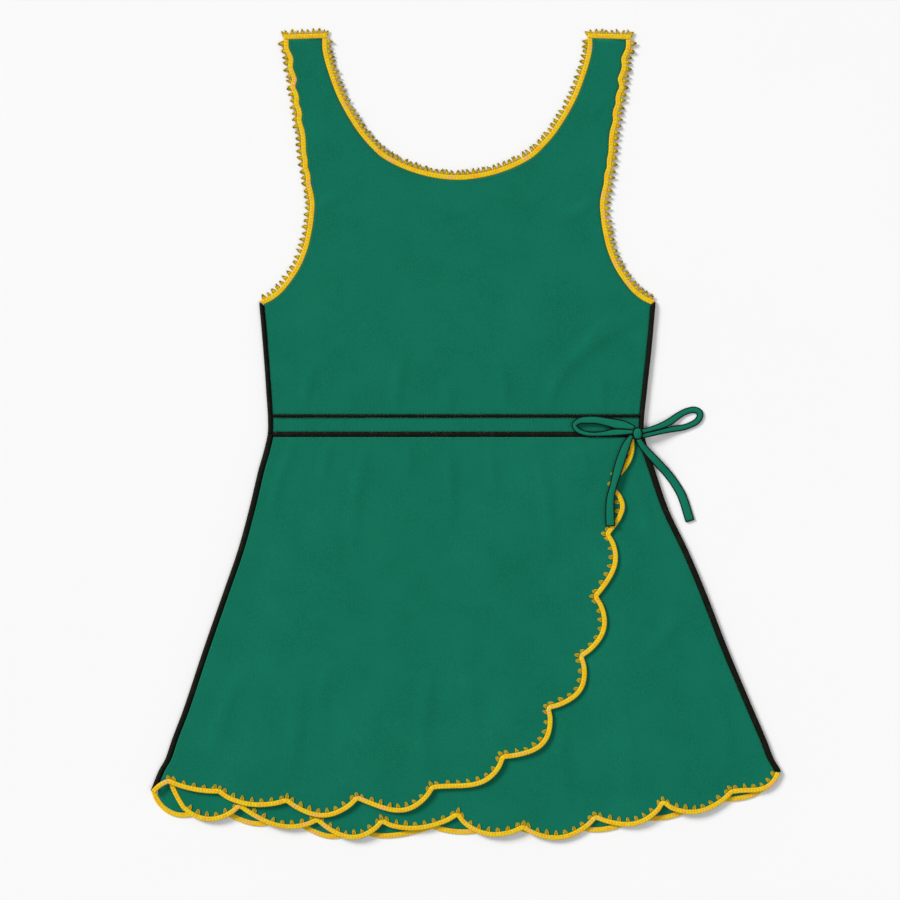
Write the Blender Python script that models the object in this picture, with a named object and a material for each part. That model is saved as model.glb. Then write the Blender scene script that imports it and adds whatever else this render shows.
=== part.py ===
"""Sleeveless athletic wrap dress, laid flat on a surface with its front up.

Sizes are in millimetres until a mesh is made. While the pieces are drawn, x runs
from the centre line of the dress to the right and y runs up from the lower waist
seam to the neck. At the end all pieces move together, so that the origin lies under
the middle of the dress.
"""

import math

import bpy
from mathutils import Vector
from mathutils.geometry import delaunay_2d_cdt

MM = 0.001

# Cloth and the gaps between its layers
CLOTH = 1.2
SEAM_GAP = 0.3
LAYER_GAP = 0.5
FRONT_BED = CLOTH + SEAM_GAP
OVERLAP_BED = FRONT_BED + CLOTH + LAYER_GAP
FRONT_GRID = 24.0

# Gold picot trim
BAND_WIDTH = 5.1
PICOT_HEIGHT = 5.0
NECK_PICOT_PITCH = 5.9
ARMHOLE_PICOT_PITCH = 6.9
HEM_PICOT_PITCH = 10.4
EDGE_TRIM_THICK = 1.4
HEM_TRIM_THICK = 1.0
TRIM_LIFT = 0.4
BACK_TRIM_BED = 0.2
BACK_TRIM_THICK = 1.2

# Black piping
BODICE_PIPING = 5.0
SKIRT_PIPING = 6.5
UPPER_WAIST_PIPING = 2.6
LOWER_WAIST_PIPING = 4.8
UPPER_WAIST_LINE = 19.4
WAIST_PIPING_RISE = 0.5
BACK_PIPING_THICK = 1.2
SIDE_PIPING_TOP = 4.7
PIPING_STEP = 8.0
PIPING_PROFILE = [
    # across, up
    (0.0, 0.0),
    (1.0, 0.0),
    (1.0, 0.6),
    (0.7, 1.0),
    (0.3, 1.0),
    (0.0, 0.6),
]

# Neck edge of the cloth, from the shoulder down to the middle of the scoop
NECKLINE = [
    # half_width, height
    (142.0, 416.0),
    (141.8, 403.5),
    (136.5, 382.5),
    (124.5, 351.0),
    (106.0, 319.5),
    (88.0, 298.5),
    (75.0, 288.0),
    (53.5, 277.5),
    (28.0, 270.0),
    (0.0, 267.0),
]

# Armhole edge of the cloth, from the shoulder to the underarm
ARMHOLE = [
    # half_width, height
    (176.8, 414.6),
    (176.6, 406.2),
    (173.8, 399.8),
    (171.8, 394.2),
    (172.4, 386.0),
    (170.0, 378.6),
    (168.1, 372.8),
    (169.8, 365.4),
    (167.4, 359.6),
    (165.8, 353.4),
    (166.0, 347.4),
    (163.8, 342.0),
    (162.7, 335.8),
    (163.2, 329.6),
    (160.1, 319.0),
    (158.9, 309.0),
    (158.4, 297.0),
    (156.8, 288.0),
    (156.6, 280.5),
    (154.1, 273.0),
    (153.5, 263.6),
    (151.3, 254.6),
    (149.7, 245.0),
    (149.7, 237.0),
    (150.5, 228.0),
    (152.3, 215.0),
    (157.2, 194.0),
    (166.2, 173.0),
    (180.7, 152.5),
    (192.5, 142.0),
    (203.4, 136.3),
]
SIDE_PIPING_HEAD = 135.6
UNDERARM_SLOPE = 0.78
UNDERARM_MITRE = 0.47

# Outer edge of the side seams
SIDES = [
    # height, left, right
    (139.0, 208.3, 208.4),
    (89.0, 204.0, 203.9),
    (47.0, 201.0, 199.3),
    (5.0, 199.0, 195.8),
    (-16.0, 203.0, 200.6),
    (-37.0, 209.0, 207.5),
    (-79.0, 219.0, 222.0),
    (-121.0, 230.5, 242.0),
    (-163.0, 245.0, 260.0),
    (-226.0, 267.0, 284.5),
    (-289.0, 288.0, 311.0),
    (-320.0, 299.8, 324.4),
    (-341.0, 307.0, 332.6),
    (-353.0, 313.8, 339.6),
    (-372.0, 321.5, 345.0),
]
LEFT_PIPING_FOOT = -372.6
RIGHT_PIPING_FOOT = -353.0

# Scalloped edges, from the left seam to the right, along the middle of their trim.
# Each row is the inward point where a scallop starts, how far the scallop swells
# out, and where along it the swelling is deepest.
OVERLAP_SCALLOPS = [
    # x, y, swell, deepest
    (-319.0, -374.5, -1.5, 0.50),
    (-303.0, -363.5, 3.0, 0.50),
    (-250.0, -374.0, 8.9, 0.47),
    (-179.0, -383.5, 17.0, 0.52),
    (-105.0, -381.0, 19.2, 0.58),
    (-26.0, -370.0, 15.2, 0.62),
    (48.0, -338.0, 20.5, 0.55),
    (96.0, -287.0, 17.6, 0.53),
    (130.1, -232.6, 16.0, 0.52),
    (145.2, -169.8, 13.2, 0.57),
    (157.8, -104.5, 12.4, 0.60),
    (163.0, -57.0, 0.5, 0.50),
    (164.5, -47.0, 6.3, 0.56),
]
OVERLAP_END = (182.8, -5.0)
UNDERLAP_SCALLOPS = [
    (-300.9, -365.4, 0.8, 0.50),
    (-287.4, -391.5, 13.0, 0.48),
    (-228.5, -389.7, 13.0, 0.56),
    (-147.0, -404.5, 17.2, 0.54),
    (-79.0, -406.0, 10.2, 0.47),
    (0.0, -399.0, 13.8, 0.48),
    (69.0, -412.0, 16.0, 0.50),
    (145.0, -402.0, 15.2, 0.54),
    (216.0, -386.0, 15.0, 0.47),
    (288.0, -375.0, 9.8, 0.64),
]
UNDERLAP_END = (336.8, -354.6)
BACK_SCALLOPS = [
    (-319.3, -374.0, 18.4, 0.45),
    (-258.0, -390.0, 12.2, 0.59),
    (-181.0, -401.0, 16.2, 0.60),
    (-101.0, -409.2, 11.6, 0.30),
    (-26.0, -411.8, 8.8, 0.50),
    (50.0, -405.0, 12.0, 0.50),
    (121.0, -407.0, 10.2, 0.40),
    (190.0, -402.0, 7.6, 0.48),
    (259.0, -384.0, 12.0, 0.58),
]
BACK_END = (336.5, -356.2)
BACK_HEM_STEP = 9.0
SCALLOP_FULLNESS = 0.85
SCALLOP_STEPS = 40
CURVE_STEPS = 10
CORNER_WITHOUT_PICOTS = 2
UNDERLAP_WITHOUT_PICOTS = 3

# Long soft folds of the front, each a low ridge along a straight line
FOLDS = [
    # x_from, y_from, x_to, y_to, half_width, height
    (-150.0, -120.0, -222.0, -430.0, 34.0, 2.6),
    (-58.0, -110.0, -96.0, -440.0, 38.0, 2.2),
    (42.0, -150.0, 52.0, -440.0, 36.0, 2.4),
    (168.0, -160.0, 232.0, -430.0, 32.0, 2.6),
    (120.0, -50.0, 20.0, -120.0, 28.0, 1.6),
    (-112.0, 130.0, -60.0, 74.0, 30.0, 1.5),
    (104.0, 140.0, 70.0, 80.0, 30.0, 1.7),
    (-10.0, 210.0, 12.0, 120.0, 36.0, 1.3),
]

# The upper panel climbs over the trim of the panel under it, above the hem
CLIMB = 1.3
CLIMB_FROM = -270.0
CLIMB_TO = -350.0

# Ties of the bow: flat strips whose undersides follow the column named lift
TIE_THICK = 1.6
TIE_CHAMFER = 0.7
TIE_STEPS = 3
LEFT_LOOP = [
    # x, y, width, lift
    (183.1, 7.6, 5.2, 6.6),
    (174.1, 10.0, 8.4, 6.1),
    (167.0, 10.9, 9.5, 5.7),
    (157.0, 13.1, 8.3, 5.4),
    (146.0, 15.1, 7.6, 5.4),
    (136.0, 15.3, 7.4, 5.4),
    (128.0, 14.3, 6.2, 5.4),
    (122.6, 9.9, 4.9, 5.4),
    (126.4, 4.3, 4.8, 5.4),
    (134.5, 1.1, 4.6, 5.4),
    (143.5, 0.3, 4.1, 5.4),
    (154.0, 0.9, 5.1, 5.4),
    (164.0, 2.2, 6.8, 5.6),
    (174.1, 2.5, 5.8, 6.1),
    (183.2, 2.9, 4.3, 6.6),
]
RIGHT_LOOP = [
    (194.6, 3.5, 4.6, 6.6),
    (204.1, 5.95, 4.9, 5.6),
    (214.8, 9.5, 6.2, 4.0),
    (223.4, 13.7, 7.0, 2.3),
    (231.2, 19.2, 6.3, 0.9),
    (239.5, 23.9, 5.8, 0.3),
    (248.1, 26.0, 5.8, 0.3),
    (253.9, 24.0, 5.8, 0.3),
    (255.0, 19.6, 6.0, 0.3),
    (251.8, 14.0, 5.8, 0.3),
    (244.6, 9.9, 5.4, 0.4),
    (236.3, 7.2, 5.5, 0.7),
    (225.6, 5.6, 5.6, 2.1),
    (214.8, 3.3, 4.8, 4.0),
    (204.1, 0.75, 4.5, 5.6),
    (194.6, -1.3, 4.3, 6.6),
]
LEFT_TAIL = [
    (181.3, -3.0, 4.6, 6.6),
    (177.2, -10.8, 7.8, 6.4),
    (172.8, -22.1, 9.0, 6.4),
    (168.7, -34.9, 9.2, 6.3),
    (163.6, -53.0, 7.2, 6.3),
    (160.4, -67.0, 8.0, 6.3),
    (159.9, -81.0, 9.1, 6.3),
    (160.4, -95.3, 9.4, 6.3),
]
RIGHT_TAIL = [
    (190.8, -6.9, 6.0, 6.6),
    (194.4, -12.4, 6.8, 6.2),
    (200.6, -19.6, 7.4, 5.6),
    (207.0, -26.4, 7.9, 5.3),
    (213.4, -33.2, 8.1, 3.8),
    (220.8, -41.2, 8.1, 1.7),
    (228.6, -51.6, 8.2, 0.5),
    (236.6, -66.0, 8.7, 0.3),
    (244.3, -90.3, 8.9, 0.3),
]
KNOT_CENTRE = (188.9, 0.9)
KNOT_SIZE = (10.2, 12.0, 4.6)
KNOT_BED = 5.3
KNOT_ROUNDING = 1.2


def finish(name, colour, roughness, metallic=0.0):
    """One Principled material."""
    material = bpy.data.materials.new(name)
    material.use_nodes = True
    shader = material.node_tree.nodes["Principled BSDF"]
    shader.inputs["Base Color"].default_value = (*colour, 1.0)
    shader.inputs["Roughness"].default_value = roughness
    shader.inputs["Metallic"].default_value = metallic
    return material


def add_object(name, points, faces, material):
    """Put one closed mesh, given in millimetres, into the scene."""
    mesh = bpy.data.meshes.new(name)
    mesh.from_pydata([[value * MM for value in point] for point in points], [], faces)
    mesh.validate()
    mesh.materials.append(material)
    piece = bpy.data.objects.new(name, mesh)
    bpy.context.collection.objects.link(piece)
    return piece


# Curves

def spline(rows, steps):
    """A smooth curve through all rows, with every column carried along it."""
    found = []
    last = len(rows) - 1
    for index in range(last):
        before = rows[max(index - 1, 0)]
        start = rows[index]
        end = rows[index + 1]
        after = rows[min(index + 2, last)]
        for step in range(steps):
            t = step / steps
            found.append(tuple(
                0.5 * (2 * b + (c - a) * t + (2 * a - 5 * b + 4 * c - d) * t ** 2
                       + (3 * b - a - 3 * c + d) * t ** 3)
                for a, b, c, d in zip(before, start, end, after)
            ))
    found.append(tuple(rows[last]))
    return found


def spaced(points, pitch):
    """Points at an even distance near the pitch along a polyline."""
    lengths = [0.0]
    for here, there in zip(points, points[1:]):
        lengths.append(lengths[-1] + math.dist(here, there))
    count = max(1, round(lengths[-1] / pitch))
    found = []
    index = 0
    for step in range(count + 1):
        target = lengths[-1] * step / count
        while index < len(points) - 2 and lengths[index + 1] < target:
            index += 1
        share = (target - lengths[index]) / (lengths[index + 1] - lengths[index])
        here = points[index]
        there = points[index + 1]
        found.append(tuple(a + (b - a) * share for a, b in zip(here, there)))
    return found


def outward(points, distance):
    """Points moved to the right-hand side of the way that the curve runs."""
    moved = []
    for index, (x, y) in enumerate(points):
        before = Vector(points[max(index - 1, 0)])
        after = Vector(points[min(index + 1, len(points) - 1)])
        way = (after - before).normalized()
        moved.append((x + way.y * distance, y - way.x * distance))
    return moved


def scalloped_edge(rows, end, pitch):
    """Cloth edge of a row of scallops, with a point at every inward corner."""
    found = []
    corners = [row[:2] for row in rows] + [end]
    for row, start, stop in zip(rows, corners, corners[1:]):
        chord = Vector(stop) - Vector(start)
        out = Vector((chord.y, -chord.x)).normalized()
        skew = math.log(0.5) / math.log(row[3])
        fine = []
        for step in range(SCALLOP_STEPS + 1):
            t = step / SCALLOP_STEPS
            swell = row[2] * max(0.0, math.sin(math.pi * t ** skew)) ** SCALLOP_FULLNESS
            place = Vector(start) + chord * t + out * swell
            fine.append((place.x, place.y))
        found.extend(spaced(fine, pitch)[:-1])
    found.append(end)
    return outward(found, BAND_WIDTH / 2)


def side_edge(hand, height):
    """Outer edge of a side seam at a height. The hand is -1 on the left."""
    column = 1 if hand < 0 else 2
    for upper, lower in zip(SIDES, SIDES[1:]):
        if height >= lower[0] or lower is SIDES[-1]:
            break
    index = SIDES.index(upper)
    before = SIDES[max(index - 1, 0)]
    after = SIDES[min(index + 2, len(SIDES) - 1)]
    t = (upper[0] - height) / (upper[0] - lower[0])
    span = upper[0] - lower[0]
    slope_in = (lower[column] - before[column]) / (before[0] - lower[0]) * span
    slope_out = (after[column] - upper[column]) / (upper[0] - after[0]) * span
    value = ((2 * t ** 3 - 3 * t ** 2 + 1) * upper[column]
             + (t ** 3 - 2 * t ** 2 + t) * slope_in
             + (3 * t ** 2 - 2 * t ** 3) * lower[column]
             + (t ** 3 - t ** 2) * slope_out)
    return hand * value


def panel_side(hand, top, foot, piping):
    """Edge of a panel beside the side piping, from the top down."""
    count = max(1, round((top - foot) / PIPING_STEP))
    heights = [top + (foot - top) * step / count for step in range(count + 1)]
    return [(side_edge(hand, y) - hand * (piping + SEAM_GAP), y) for y in heights]


def neckline():
    """Neck edge of the cloth, from the right strap round to the left strap."""
    rows = NECKLINE + mirrored(NECKLINE)[1:]
    return spaced(spline(rows, CURVE_STEPS), NECK_PICOT_PITCH)


def right_armhole():
    """Right armhole edge of the cloth, from the underarm up to the shoulder."""
    return spaced(spline(ARMHOLE[::-1], CURVE_STEPS), ARMHOLE_PICOT_PITCH)


def mirrored(points):
    """The same edge on the other side, running the other way."""
    return [(-x, y) for x, y in reversed(points)]


# Relief

def front_rise(x, y):
    """Height that the soft folds add to the front at a point."""
    rise = 0.0
    for x_from, y_from, x_to, y_to, half_width, height in FOLDS:
        run = Vector((x_to - x_from, y_to - y_from))
        reach = Vector((x - x_from, y - y_from))
        share = min(1.0, max(0.0, reach.dot(run) / run.length_squared))
        away = (reach - run * share).length
        rise += height * math.exp(-0.5 * (away / half_width) ** 2)
    return rise


def overlap_rise(x, y):
    """Relief of the upper panel: the same folds, and the climb near the hem."""
    share = min(1.0, max(0.0, (y - CLIMB_FROM) / (CLIMB_TO - CLIMB_FROM)))
    return front_rise(x, y) + CLIMB * share * share * (3 - 2 * share)


def flat(x, y):
    """No relief: the back lies flat on the surface."""
    return 0.0


# Solids

def inside(point, outline):
    """Whether a point lies within a closed outline."""
    x, y = point
    crossings = False
    for (ax, ay), (bx, by) in zip(outline, outline[1:] + outline[:1]):
        if (ay > y) != (by > y) and x < (bx - ax) * (y - ay) / (by - ay) + ax:
            crossings = not crossings
    return crossings


def clear_of_edge(point, outline, distance):
    """Whether a point keeps a distance from every stretch of the outline."""
    here = Vector(point)
    for a, b in zip(outline, outline[1:] + outline[:1]):
        start = Vector(a)
        run = Vector(b) - start
        share = min(1.0, max(0.0, (here - start).dot(run) / run.length_squared))
        if (here - start - run * share).length < distance:
            return False
    return True


def grid_points(outline, pitch):
    """Rows of evenly spread points inside an outline, every other row set over."""
    rise = pitch * math.sqrt(3) / 2
    left = min(x for x, _ in outline)
    right = max(x for x, _ in outline)
    foot = min(y for _, y in outline)
    top = max(y for _, y in outline)
    found = []
    for row in range(1, math.ceil((top - foot) / rise)):
        for column in range(math.ceil((right - left) / pitch)):
            place = (left + (column + 0.5 * (row % 2)) * pitch, foot + row * rise)
            if inside(place, outline) and clear_of_edge(place, outline, pitch / 2):
                found.append(place)
    return found


def panel(name, outline, bed, relief, material, pitch=None):
    """A wall of cloth with this outline, run counter-clockwise, over a relief."""
    corners = [Vector(point) for point in outline]
    if pitch:
        corners += [Vector(point) for point in grid_points(outline, pitch)]
    boundary = list(range(len(outline)))
    places, _, faces, _, _, _ = delaunay_2d_cdt(corners, [], [boundary], 1, 1e-4)
    count = len(places)
    under = [(p.x, p.y, bed + relief(p.x, p.y)) for p in places]
    over = [(x, y, z + CLOTH) for x, y, z in under]
    walls = [tuple(reversed(face)) for face in faces]
    walls += [tuple(index + count for index in face) for face in faces]
    edges = {(face[k], face[(k + 1) % len(face)]) for face in faces for k in range(len(face))}
    for start, stop in sorted(edges):
        if (stop, start) not in edges:
            walls.append((start, stop, stop + count, start + count))
    return add_object(name, under + over, walls, material)


def picot_trim(name, edge, side, bed, relief, thick, material, first_picot=0,
               underarm=None):
    """A band beside an edge, with a row of small points along its far side.

    The side is 1 for a trim outside the edge, and -1 for one that lies on the cloth.
    The points start at the stretch of the edge that first_picot counts to. The end
    that underarm counts to is cut at the slope of the side piping's head.
    """
    offset = SEAM_GAP if side > 0 else 0.0
    near = outward(edge, side * offset)
    far = outward(edge, side * (offset + BAND_WIDTH))
    tips = outward(edge, side * (offset + BAND_WIDTH + PICOT_HEIGHT))
    if underarm is not None:
        beside = edge[1 if underarm == 0 else -2]
        way = (Vector(edge[underarm]) - Vector(beside)).normalized()
        far[underarm] = tuple(Vector(far[underarm]) + way * UNDERARM_MITRE * BAND_WIDTH)
    plan = near + far
    count = len(edge)
    cells = []
    for k in range(count - 1):
        cells.append((k, k + 1, count + k + 1, count + k))
        if k >= first_picot:
            tip = ((tips[k][0] + tips[k + 1][0]) / 2, (tips[k][1] + tips[k + 1][1]) / 2)
            plan.append(tip)
            cells.append((count + k, count + k + 1, len(plan) - 1))
    if side > 0:
        cells = [tuple(reversed(cell)) for cell in cells]
    total = len(plan)
    under = [(x, y, bed + relief(x, y)) for x, y in plan]
    over = [(x, y, z + thick) for x, y, z in under]
    walls = [tuple(reversed(cell)) for cell in cells]
    walls += [tuple(index + total for index in cell) for cell in cells]
    edges = {(cell[k], cell[(k + 1) % len(cell)]) for cell in cells for k in range(len(cell))}
    for start, stop in sorted(edges):
        if (stop, start) not in edges:
            walls.append((start, stop, stop + total, start + total))
    return add_object(name, under + over, walls, material)


def swept(name, rings, material):
    """A solid through a row of rings that all have the same number of corners."""
    size = len(rings[0])
    points = [point for ring in rings for point in ring]
    walls = [tuple(reversed(range(size)))]
    for ring in range(len(rings) - 1):
        first = ring * size
        for k in range(size):
            after = (k + 1) % size
            walls.append((first + k, first + after, first + size + after, first + size + k))
    walls.append(tuple(range(len(points) - size, len(points))))
    return add_object(name, points, walls, material)


def side_piping(name, hand, top, foot, width, height, head_slope, material):
    """Piping in a side seam: flat below, rounded above, its head cut at a slope."""
    count = round((top - foot) / PIPING_STEP)
    rings = []
    for step in range(count + 1):
        y = top + (foot - top) * step / count
        outer = side_edge(hand, y)
        inner = outer - hand * width
        slope = head_slope if step == 0 else 0.0
        ring = [
            (inner + (outer - inner) * across, y + slope * width * across, height * up)
            for across, up in PIPING_PROFILE
        ]
        rings.append(ring if hand > 0 else ring[::-1])
    return swept(name, rings, material)


def waist_piping(name, line, width, piping, bed, thick, material):
    """Piping in a waist seam, from one side piping to the other."""
    left = side_edge(-1, line) + piping + SEAM_GAP
    right = side_edge(1, line) - piping - SEAM_GAP
    low = line - width / 2
    rings = []
    for x in (left, right):
        rings.append([
            (x, low + width * across, bed + thick * up) for across, up in PIPING_PROFILE
        ])
    return swept(name, rings, material)


def tie(name, rows, lies_on, material):
    """One flat strip of the bow along its rows of places and widths."""
    line = spline(rows, TIE_STEPS)
    rings = []
    for index, (x, y, width, lift) in enumerate(line):
        before = Vector(line[max(index - 1, 0)][:2])
        after = Vector(line[min(index + 1, len(line) - 1)][:2])
        way = (after - before).normalized()
        half = width / 2
        profile = [
            (-half, 0.0),
            (half, 0.0),
            (half, TIE_THICK - TIE_CHAMFER),
            (half - TIE_CHAMFER, TIE_THICK),
            (TIE_CHAMFER - half, TIE_THICK),
            (-half, TIE_THICK - TIE_CHAMFER),
        ]
        bed = lift + lies_on(x, y)
        rings.append([
            (x + way.y * across, y - way.x * across, bed + up) for across, up in profile[::-1]
        ])
    return swept(name, rings, material)


def knot(name, material):
    """The small rounded knot in the middle of the bow."""
    centre = (KNOT_CENTRE[0] * MM, KNOT_CENTRE[1] * MM, (KNOT_BED + KNOT_SIZE[2] / 2) * MM)
    bpy.ops.mesh.primitive_cube_add(size=1.0, location=centre)
    piece = bpy.context.object
    piece.name = name
    piece.scale = [size * MM for size in KNOT_SIZE]
    bpy.ops.object.transform_apply(location=True, rotation=False, scale=True)
    rounding = piece.modifiers.new("rounding", "BEVEL")
    rounding.width = KNOT_ROUNDING * MM
    rounding.segments = 2
    piece.data.materials.append(material)
    return piece


# Pieces

def bodice_outline():
    """Edge of a bodice panel, counter-clockwise from its lower right corner."""
    waist = UPPER_WAIST_LINE + UPPER_WAIST_PIPING / 2 + SEAM_GAP
    left = panel_side(-1, SIDE_PIPING_HEAD, waist, BODICE_PIPING)
    right = panel_side(1, SIDE_PIPING_HEAD, waist, BODICE_PIPING)
    armhole = [point for point in right_armhole() if point[0] < right[0][0]]
    return right[::-1] + armhole + neckline() + mirrored(armhole) + left


def shoulder_trim(name, hand, material):
    """Trim across the shoulder seam, which joins the front and the back."""
    inner = NECKLINE[0][0] - BAND_WIDTH
    outer = ARMHOLE[0][0] + SEAM_GAP + BAND_WIDTH
    ends = [(outer, ARMHOLE[0][1]), (inner, NECKLINE[0][1])]
    edge = spaced(ends if hand > 0 else mirrored(ends), NECK_PICOT_PITCH)
    thick = FRONT_BED + EDGE_TRIM_THICK - BACK_TRIM_BED
    return picot_trim(name, edge, 1, BACK_TRIM_BED, flat, thick, material)


def build_dress():
    """Make every piece of the dress."""
    green = finish("green_knit", (0.007, 0.165, 0.1), 0.85)
    gold = finish("gold_picot_braid", (0.75, 0.5, 0.02), 0.5)
    black = finish("black_piping", (0.011, 0.011, 0.007), 0.7)
    tie_green = finish("green_tie_cloth", (0.007, 0.175, 0.105), 0.8)

    panel("bodice_back", bodice_outline(), 0.0, flat, green)
    panel("bodice_front", bodice_outline(), FRONT_BED, front_rise, green, FRONT_GRID)

    band_top = UPPER_WAIST_LINE - UPPER_WAIST_PIPING / 2 - SEAM_GAP
    band_foot = LOWER_WAIST_PIPING / 2 + SEAM_GAP
    band_left = panel_side(-1, band_top, band_foot, BODICE_PIPING)
    band_right = panel_side(1, band_top, band_foot, BODICE_PIPING)
    band = band_left + band_right[::-1]
    panel("waistband_back", band, 0.0, flat, green)
    panel("waistband_front", band, FRONT_BED, flat, green)

    skirt_top = -LOWER_WAIST_PIPING / 2 - SEAM_GAP
    overlap_edge = scalloped_edge(OVERLAP_SCALLOPS, OVERLAP_END, HEM_PICOT_PITCH)
    overlap_left = panel_side(-1, skirt_top, OVERLAP_SCALLOPS[0][1] + 3, SKIRT_PIPING)
    overlap = overlap_edge + [(overlap_edge[-1][0], skirt_top)] + overlap_left
    panel("skirt_overlap", overlap, OVERLAP_BED, overlap_rise, green, FRONT_GRID)

    underlap_edge = scalloped_edge(UNDERLAP_SCALLOPS, UNDERLAP_END, HEM_PICOT_PITCH)
    underlap_left = panel_side(-1, skirt_top, UNDERLAP_SCALLOPS[0][1] + 3, SKIRT_PIPING)
    underlap_right = panel_side(1, skirt_top, RIGHT_PIPING_FOOT - SEAM_GAP, SKIRT_PIPING)
    underlap = underlap_edge + underlap_right[::-1] + underlap_left
    panel("skirt_underlap", underlap, FRONT_BED, front_rise, green, FRONT_GRID)

    back_edge = scalloped_edge(BACK_SCALLOPS, BACK_END, BACK_HEM_STEP)
    back_left = panel_side(-1, skirt_top, LEFT_PIPING_FOOT, SKIRT_PIPING)
    back_right = panel_side(1, skirt_top, RIGHT_PIPING_FOOT, SKIRT_PIPING)
    back_foot = [
        point for point in outward(back_edge, -BAND_WIDTH - SEAM_GAP)
        if back_left[-1][0] < point[0] < back_right[-1][0]
    ]
    panel("skirt_back", back_foot + back_right[::-1] + back_left, 0.0, flat, green)

    neck = neckline()
    right_hole = right_armhole()
    left_hole = mirrored(right_hole)
    edge_trims = [
        # stem, edge, underarm end
        ("neck_trim", neck, None),
        ("armhole_trim_right", right_hole, 0),
        ("armhole_trim_left", left_hole, -1),
    ]
    for stem, edge, underarm in edge_trims:
        picot_trim(stem + "_front", edge, 1, FRONT_BED, front_rise, EDGE_TRIM_THICK, gold,
                   underarm=underarm)
        picot_trim(stem + "_back", edge, 1, BACK_TRIM_BED, flat, CLOTH - BACK_TRIM_BED,
                   gold, underarm=underarm)
    shoulder_trim("shoulder_trim_left", -1, gold)
    shoulder_trim("shoulder_trim_right", 1, gold)

    overlap_trim_bed = OVERLAP_BED + CLOTH + TRIM_LIFT
    underlap_trim_bed = FRONT_BED + CLOTH + TRIM_LIFT
    picot_trim("overlap_trim", overlap_edge, -1, overlap_trim_bed, overlap_rise,
               HEM_TRIM_THICK, gold, first_picot=CORNER_WITHOUT_PICOTS)
    picot_trim("back_hem_trim", back_edge, -1, BACK_TRIM_BED, flat, BACK_TRIM_THICK, gold,
               first_picot=len(back_edge))
    picot_trim("underlap_trim", underlap_edge, -1, underlap_trim_bed, front_rise,
               HEM_TRIM_THICK, gold, first_picot=UNDERLAP_WITHOUT_PICOTS)

    for hand, word, foot in ((-1, "left", LEFT_PIPING_FOOT), (1, "right", RIGHT_PIPING_FOOT)):
        side_piping("side_piping_bodice_" + word, hand, SIDE_PIPING_HEAD, SEAM_GAP / 2,
                    BODICE_PIPING, SIDE_PIPING_TOP, UNDERARM_SLOPE, black)
        side_piping("side_piping_skirt_" + word, hand, -SEAM_GAP / 2, foot,
                    SKIRT_PIPING, SIDE_PIPING_TOP, 0.0, black)
    waist_lines = [("upper", UPPER_WAIST_LINE, UPPER_WAIST_PIPING, BODICE_PIPING),
                   ("lower", 0.0, LOWER_WAIST_PIPING, SKIRT_PIPING)]
    for word, line, width, piping in waist_lines:
        front_thick = OVERLAP_BED + CLOTH + WAIST_PIPING_RISE - FRONT_BED
        waist_piping("waist_piping_" + word + "_front", line, width, piping, FRONT_BED,
                     front_thick, black)
        waist_piping("waist_piping_" + word + "_back", line, width, piping, 0.0,
                     BACK_PIPING_THICK, black)

    tie("tie_loop_left", LEFT_LOOP, flat, tie_green)
    tie("tie_loop_right", RIGHT_LOOP, flat, tie_green)
    tie("tie_tail_left", LEFT_TAIL, front_rise, tie_green)
    tie("tie_tail_right", RIGHT_TAIL, flat, tie_green)
    knot("tie_knot", tie_green)


def settle_on_origin():
    """Move every mesh so that the origin lies under the middle of the dress."""
    corners = [corner.co for piece in bpy.data.objects for corner in piece.data.vertices]
    middle_x = (min(c.x for c in corners) + max(c.x for c in corners)) / 2
    middle_y = (min(c.y for c in corners) + max(c.y for c in corners)) / 2
    for piece in bpy.data.objects:
        for corner in piece.data.vertices:
            corner.co.x -= middle_x
            corner.co.y -= middle_y


for old in list(bpy.data.objects):
    bpy.data.objects.remove(old, do_unlink=True)
build_dress()
settle_on_origin()
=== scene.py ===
import math
import random

import bmesh
import bpy
import numpy as np
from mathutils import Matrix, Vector
from mathutils.geometry import delaunay_2d_cdt
from mathutils.kdtree import KDTree


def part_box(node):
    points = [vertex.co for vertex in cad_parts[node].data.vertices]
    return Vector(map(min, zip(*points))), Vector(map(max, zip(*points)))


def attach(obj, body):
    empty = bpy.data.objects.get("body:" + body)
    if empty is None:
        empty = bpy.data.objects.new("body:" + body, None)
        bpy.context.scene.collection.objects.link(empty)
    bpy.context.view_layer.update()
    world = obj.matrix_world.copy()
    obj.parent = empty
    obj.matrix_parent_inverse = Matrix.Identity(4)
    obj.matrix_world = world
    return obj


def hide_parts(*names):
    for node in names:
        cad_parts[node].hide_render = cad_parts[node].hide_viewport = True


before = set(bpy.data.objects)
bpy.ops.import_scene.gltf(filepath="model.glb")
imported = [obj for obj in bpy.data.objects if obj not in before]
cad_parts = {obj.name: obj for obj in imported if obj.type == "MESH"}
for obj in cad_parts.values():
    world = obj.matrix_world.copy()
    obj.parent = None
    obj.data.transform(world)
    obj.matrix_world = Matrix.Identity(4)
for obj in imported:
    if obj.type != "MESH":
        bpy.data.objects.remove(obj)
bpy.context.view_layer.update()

MM = 0.001


# Table, lamps and camera
# The dress lies on a plain pale table. Soft daylight rakes across it from the upper left,
# and a long lens looks straight down at it, framed as in the photograph.
PHOTO_SIDE = 900
PHOTO_MM = 1.05
PHOTO_CENTRE_LINE = 457.4
PHOTO_WAIST_LINE = 434.5
LOWER_WAIST_PIPING = 4.8
SEAM_GAP = 0.3
CLOTH_HEIGHT = 3.0
LENS = 100.0
SENSOR = 36.0
TABLE_SIDE = 6000.0
TABLE_DROP = 0.25
TABLE_COLOUR = (0.92, 0.92, 0.92)
TABLE_MOTTLE = 0.985
LAMPS = [
    # name, x, y, z, strength, softness in degrees
    ("key_light", -1.0, 0.75, 0.72, 3.1, 20.0),
    ("fill_light", 0.9, -0.5, 1.6, 0.55, 30.0),
]
ROOM_LIGHT = 0.40


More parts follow.
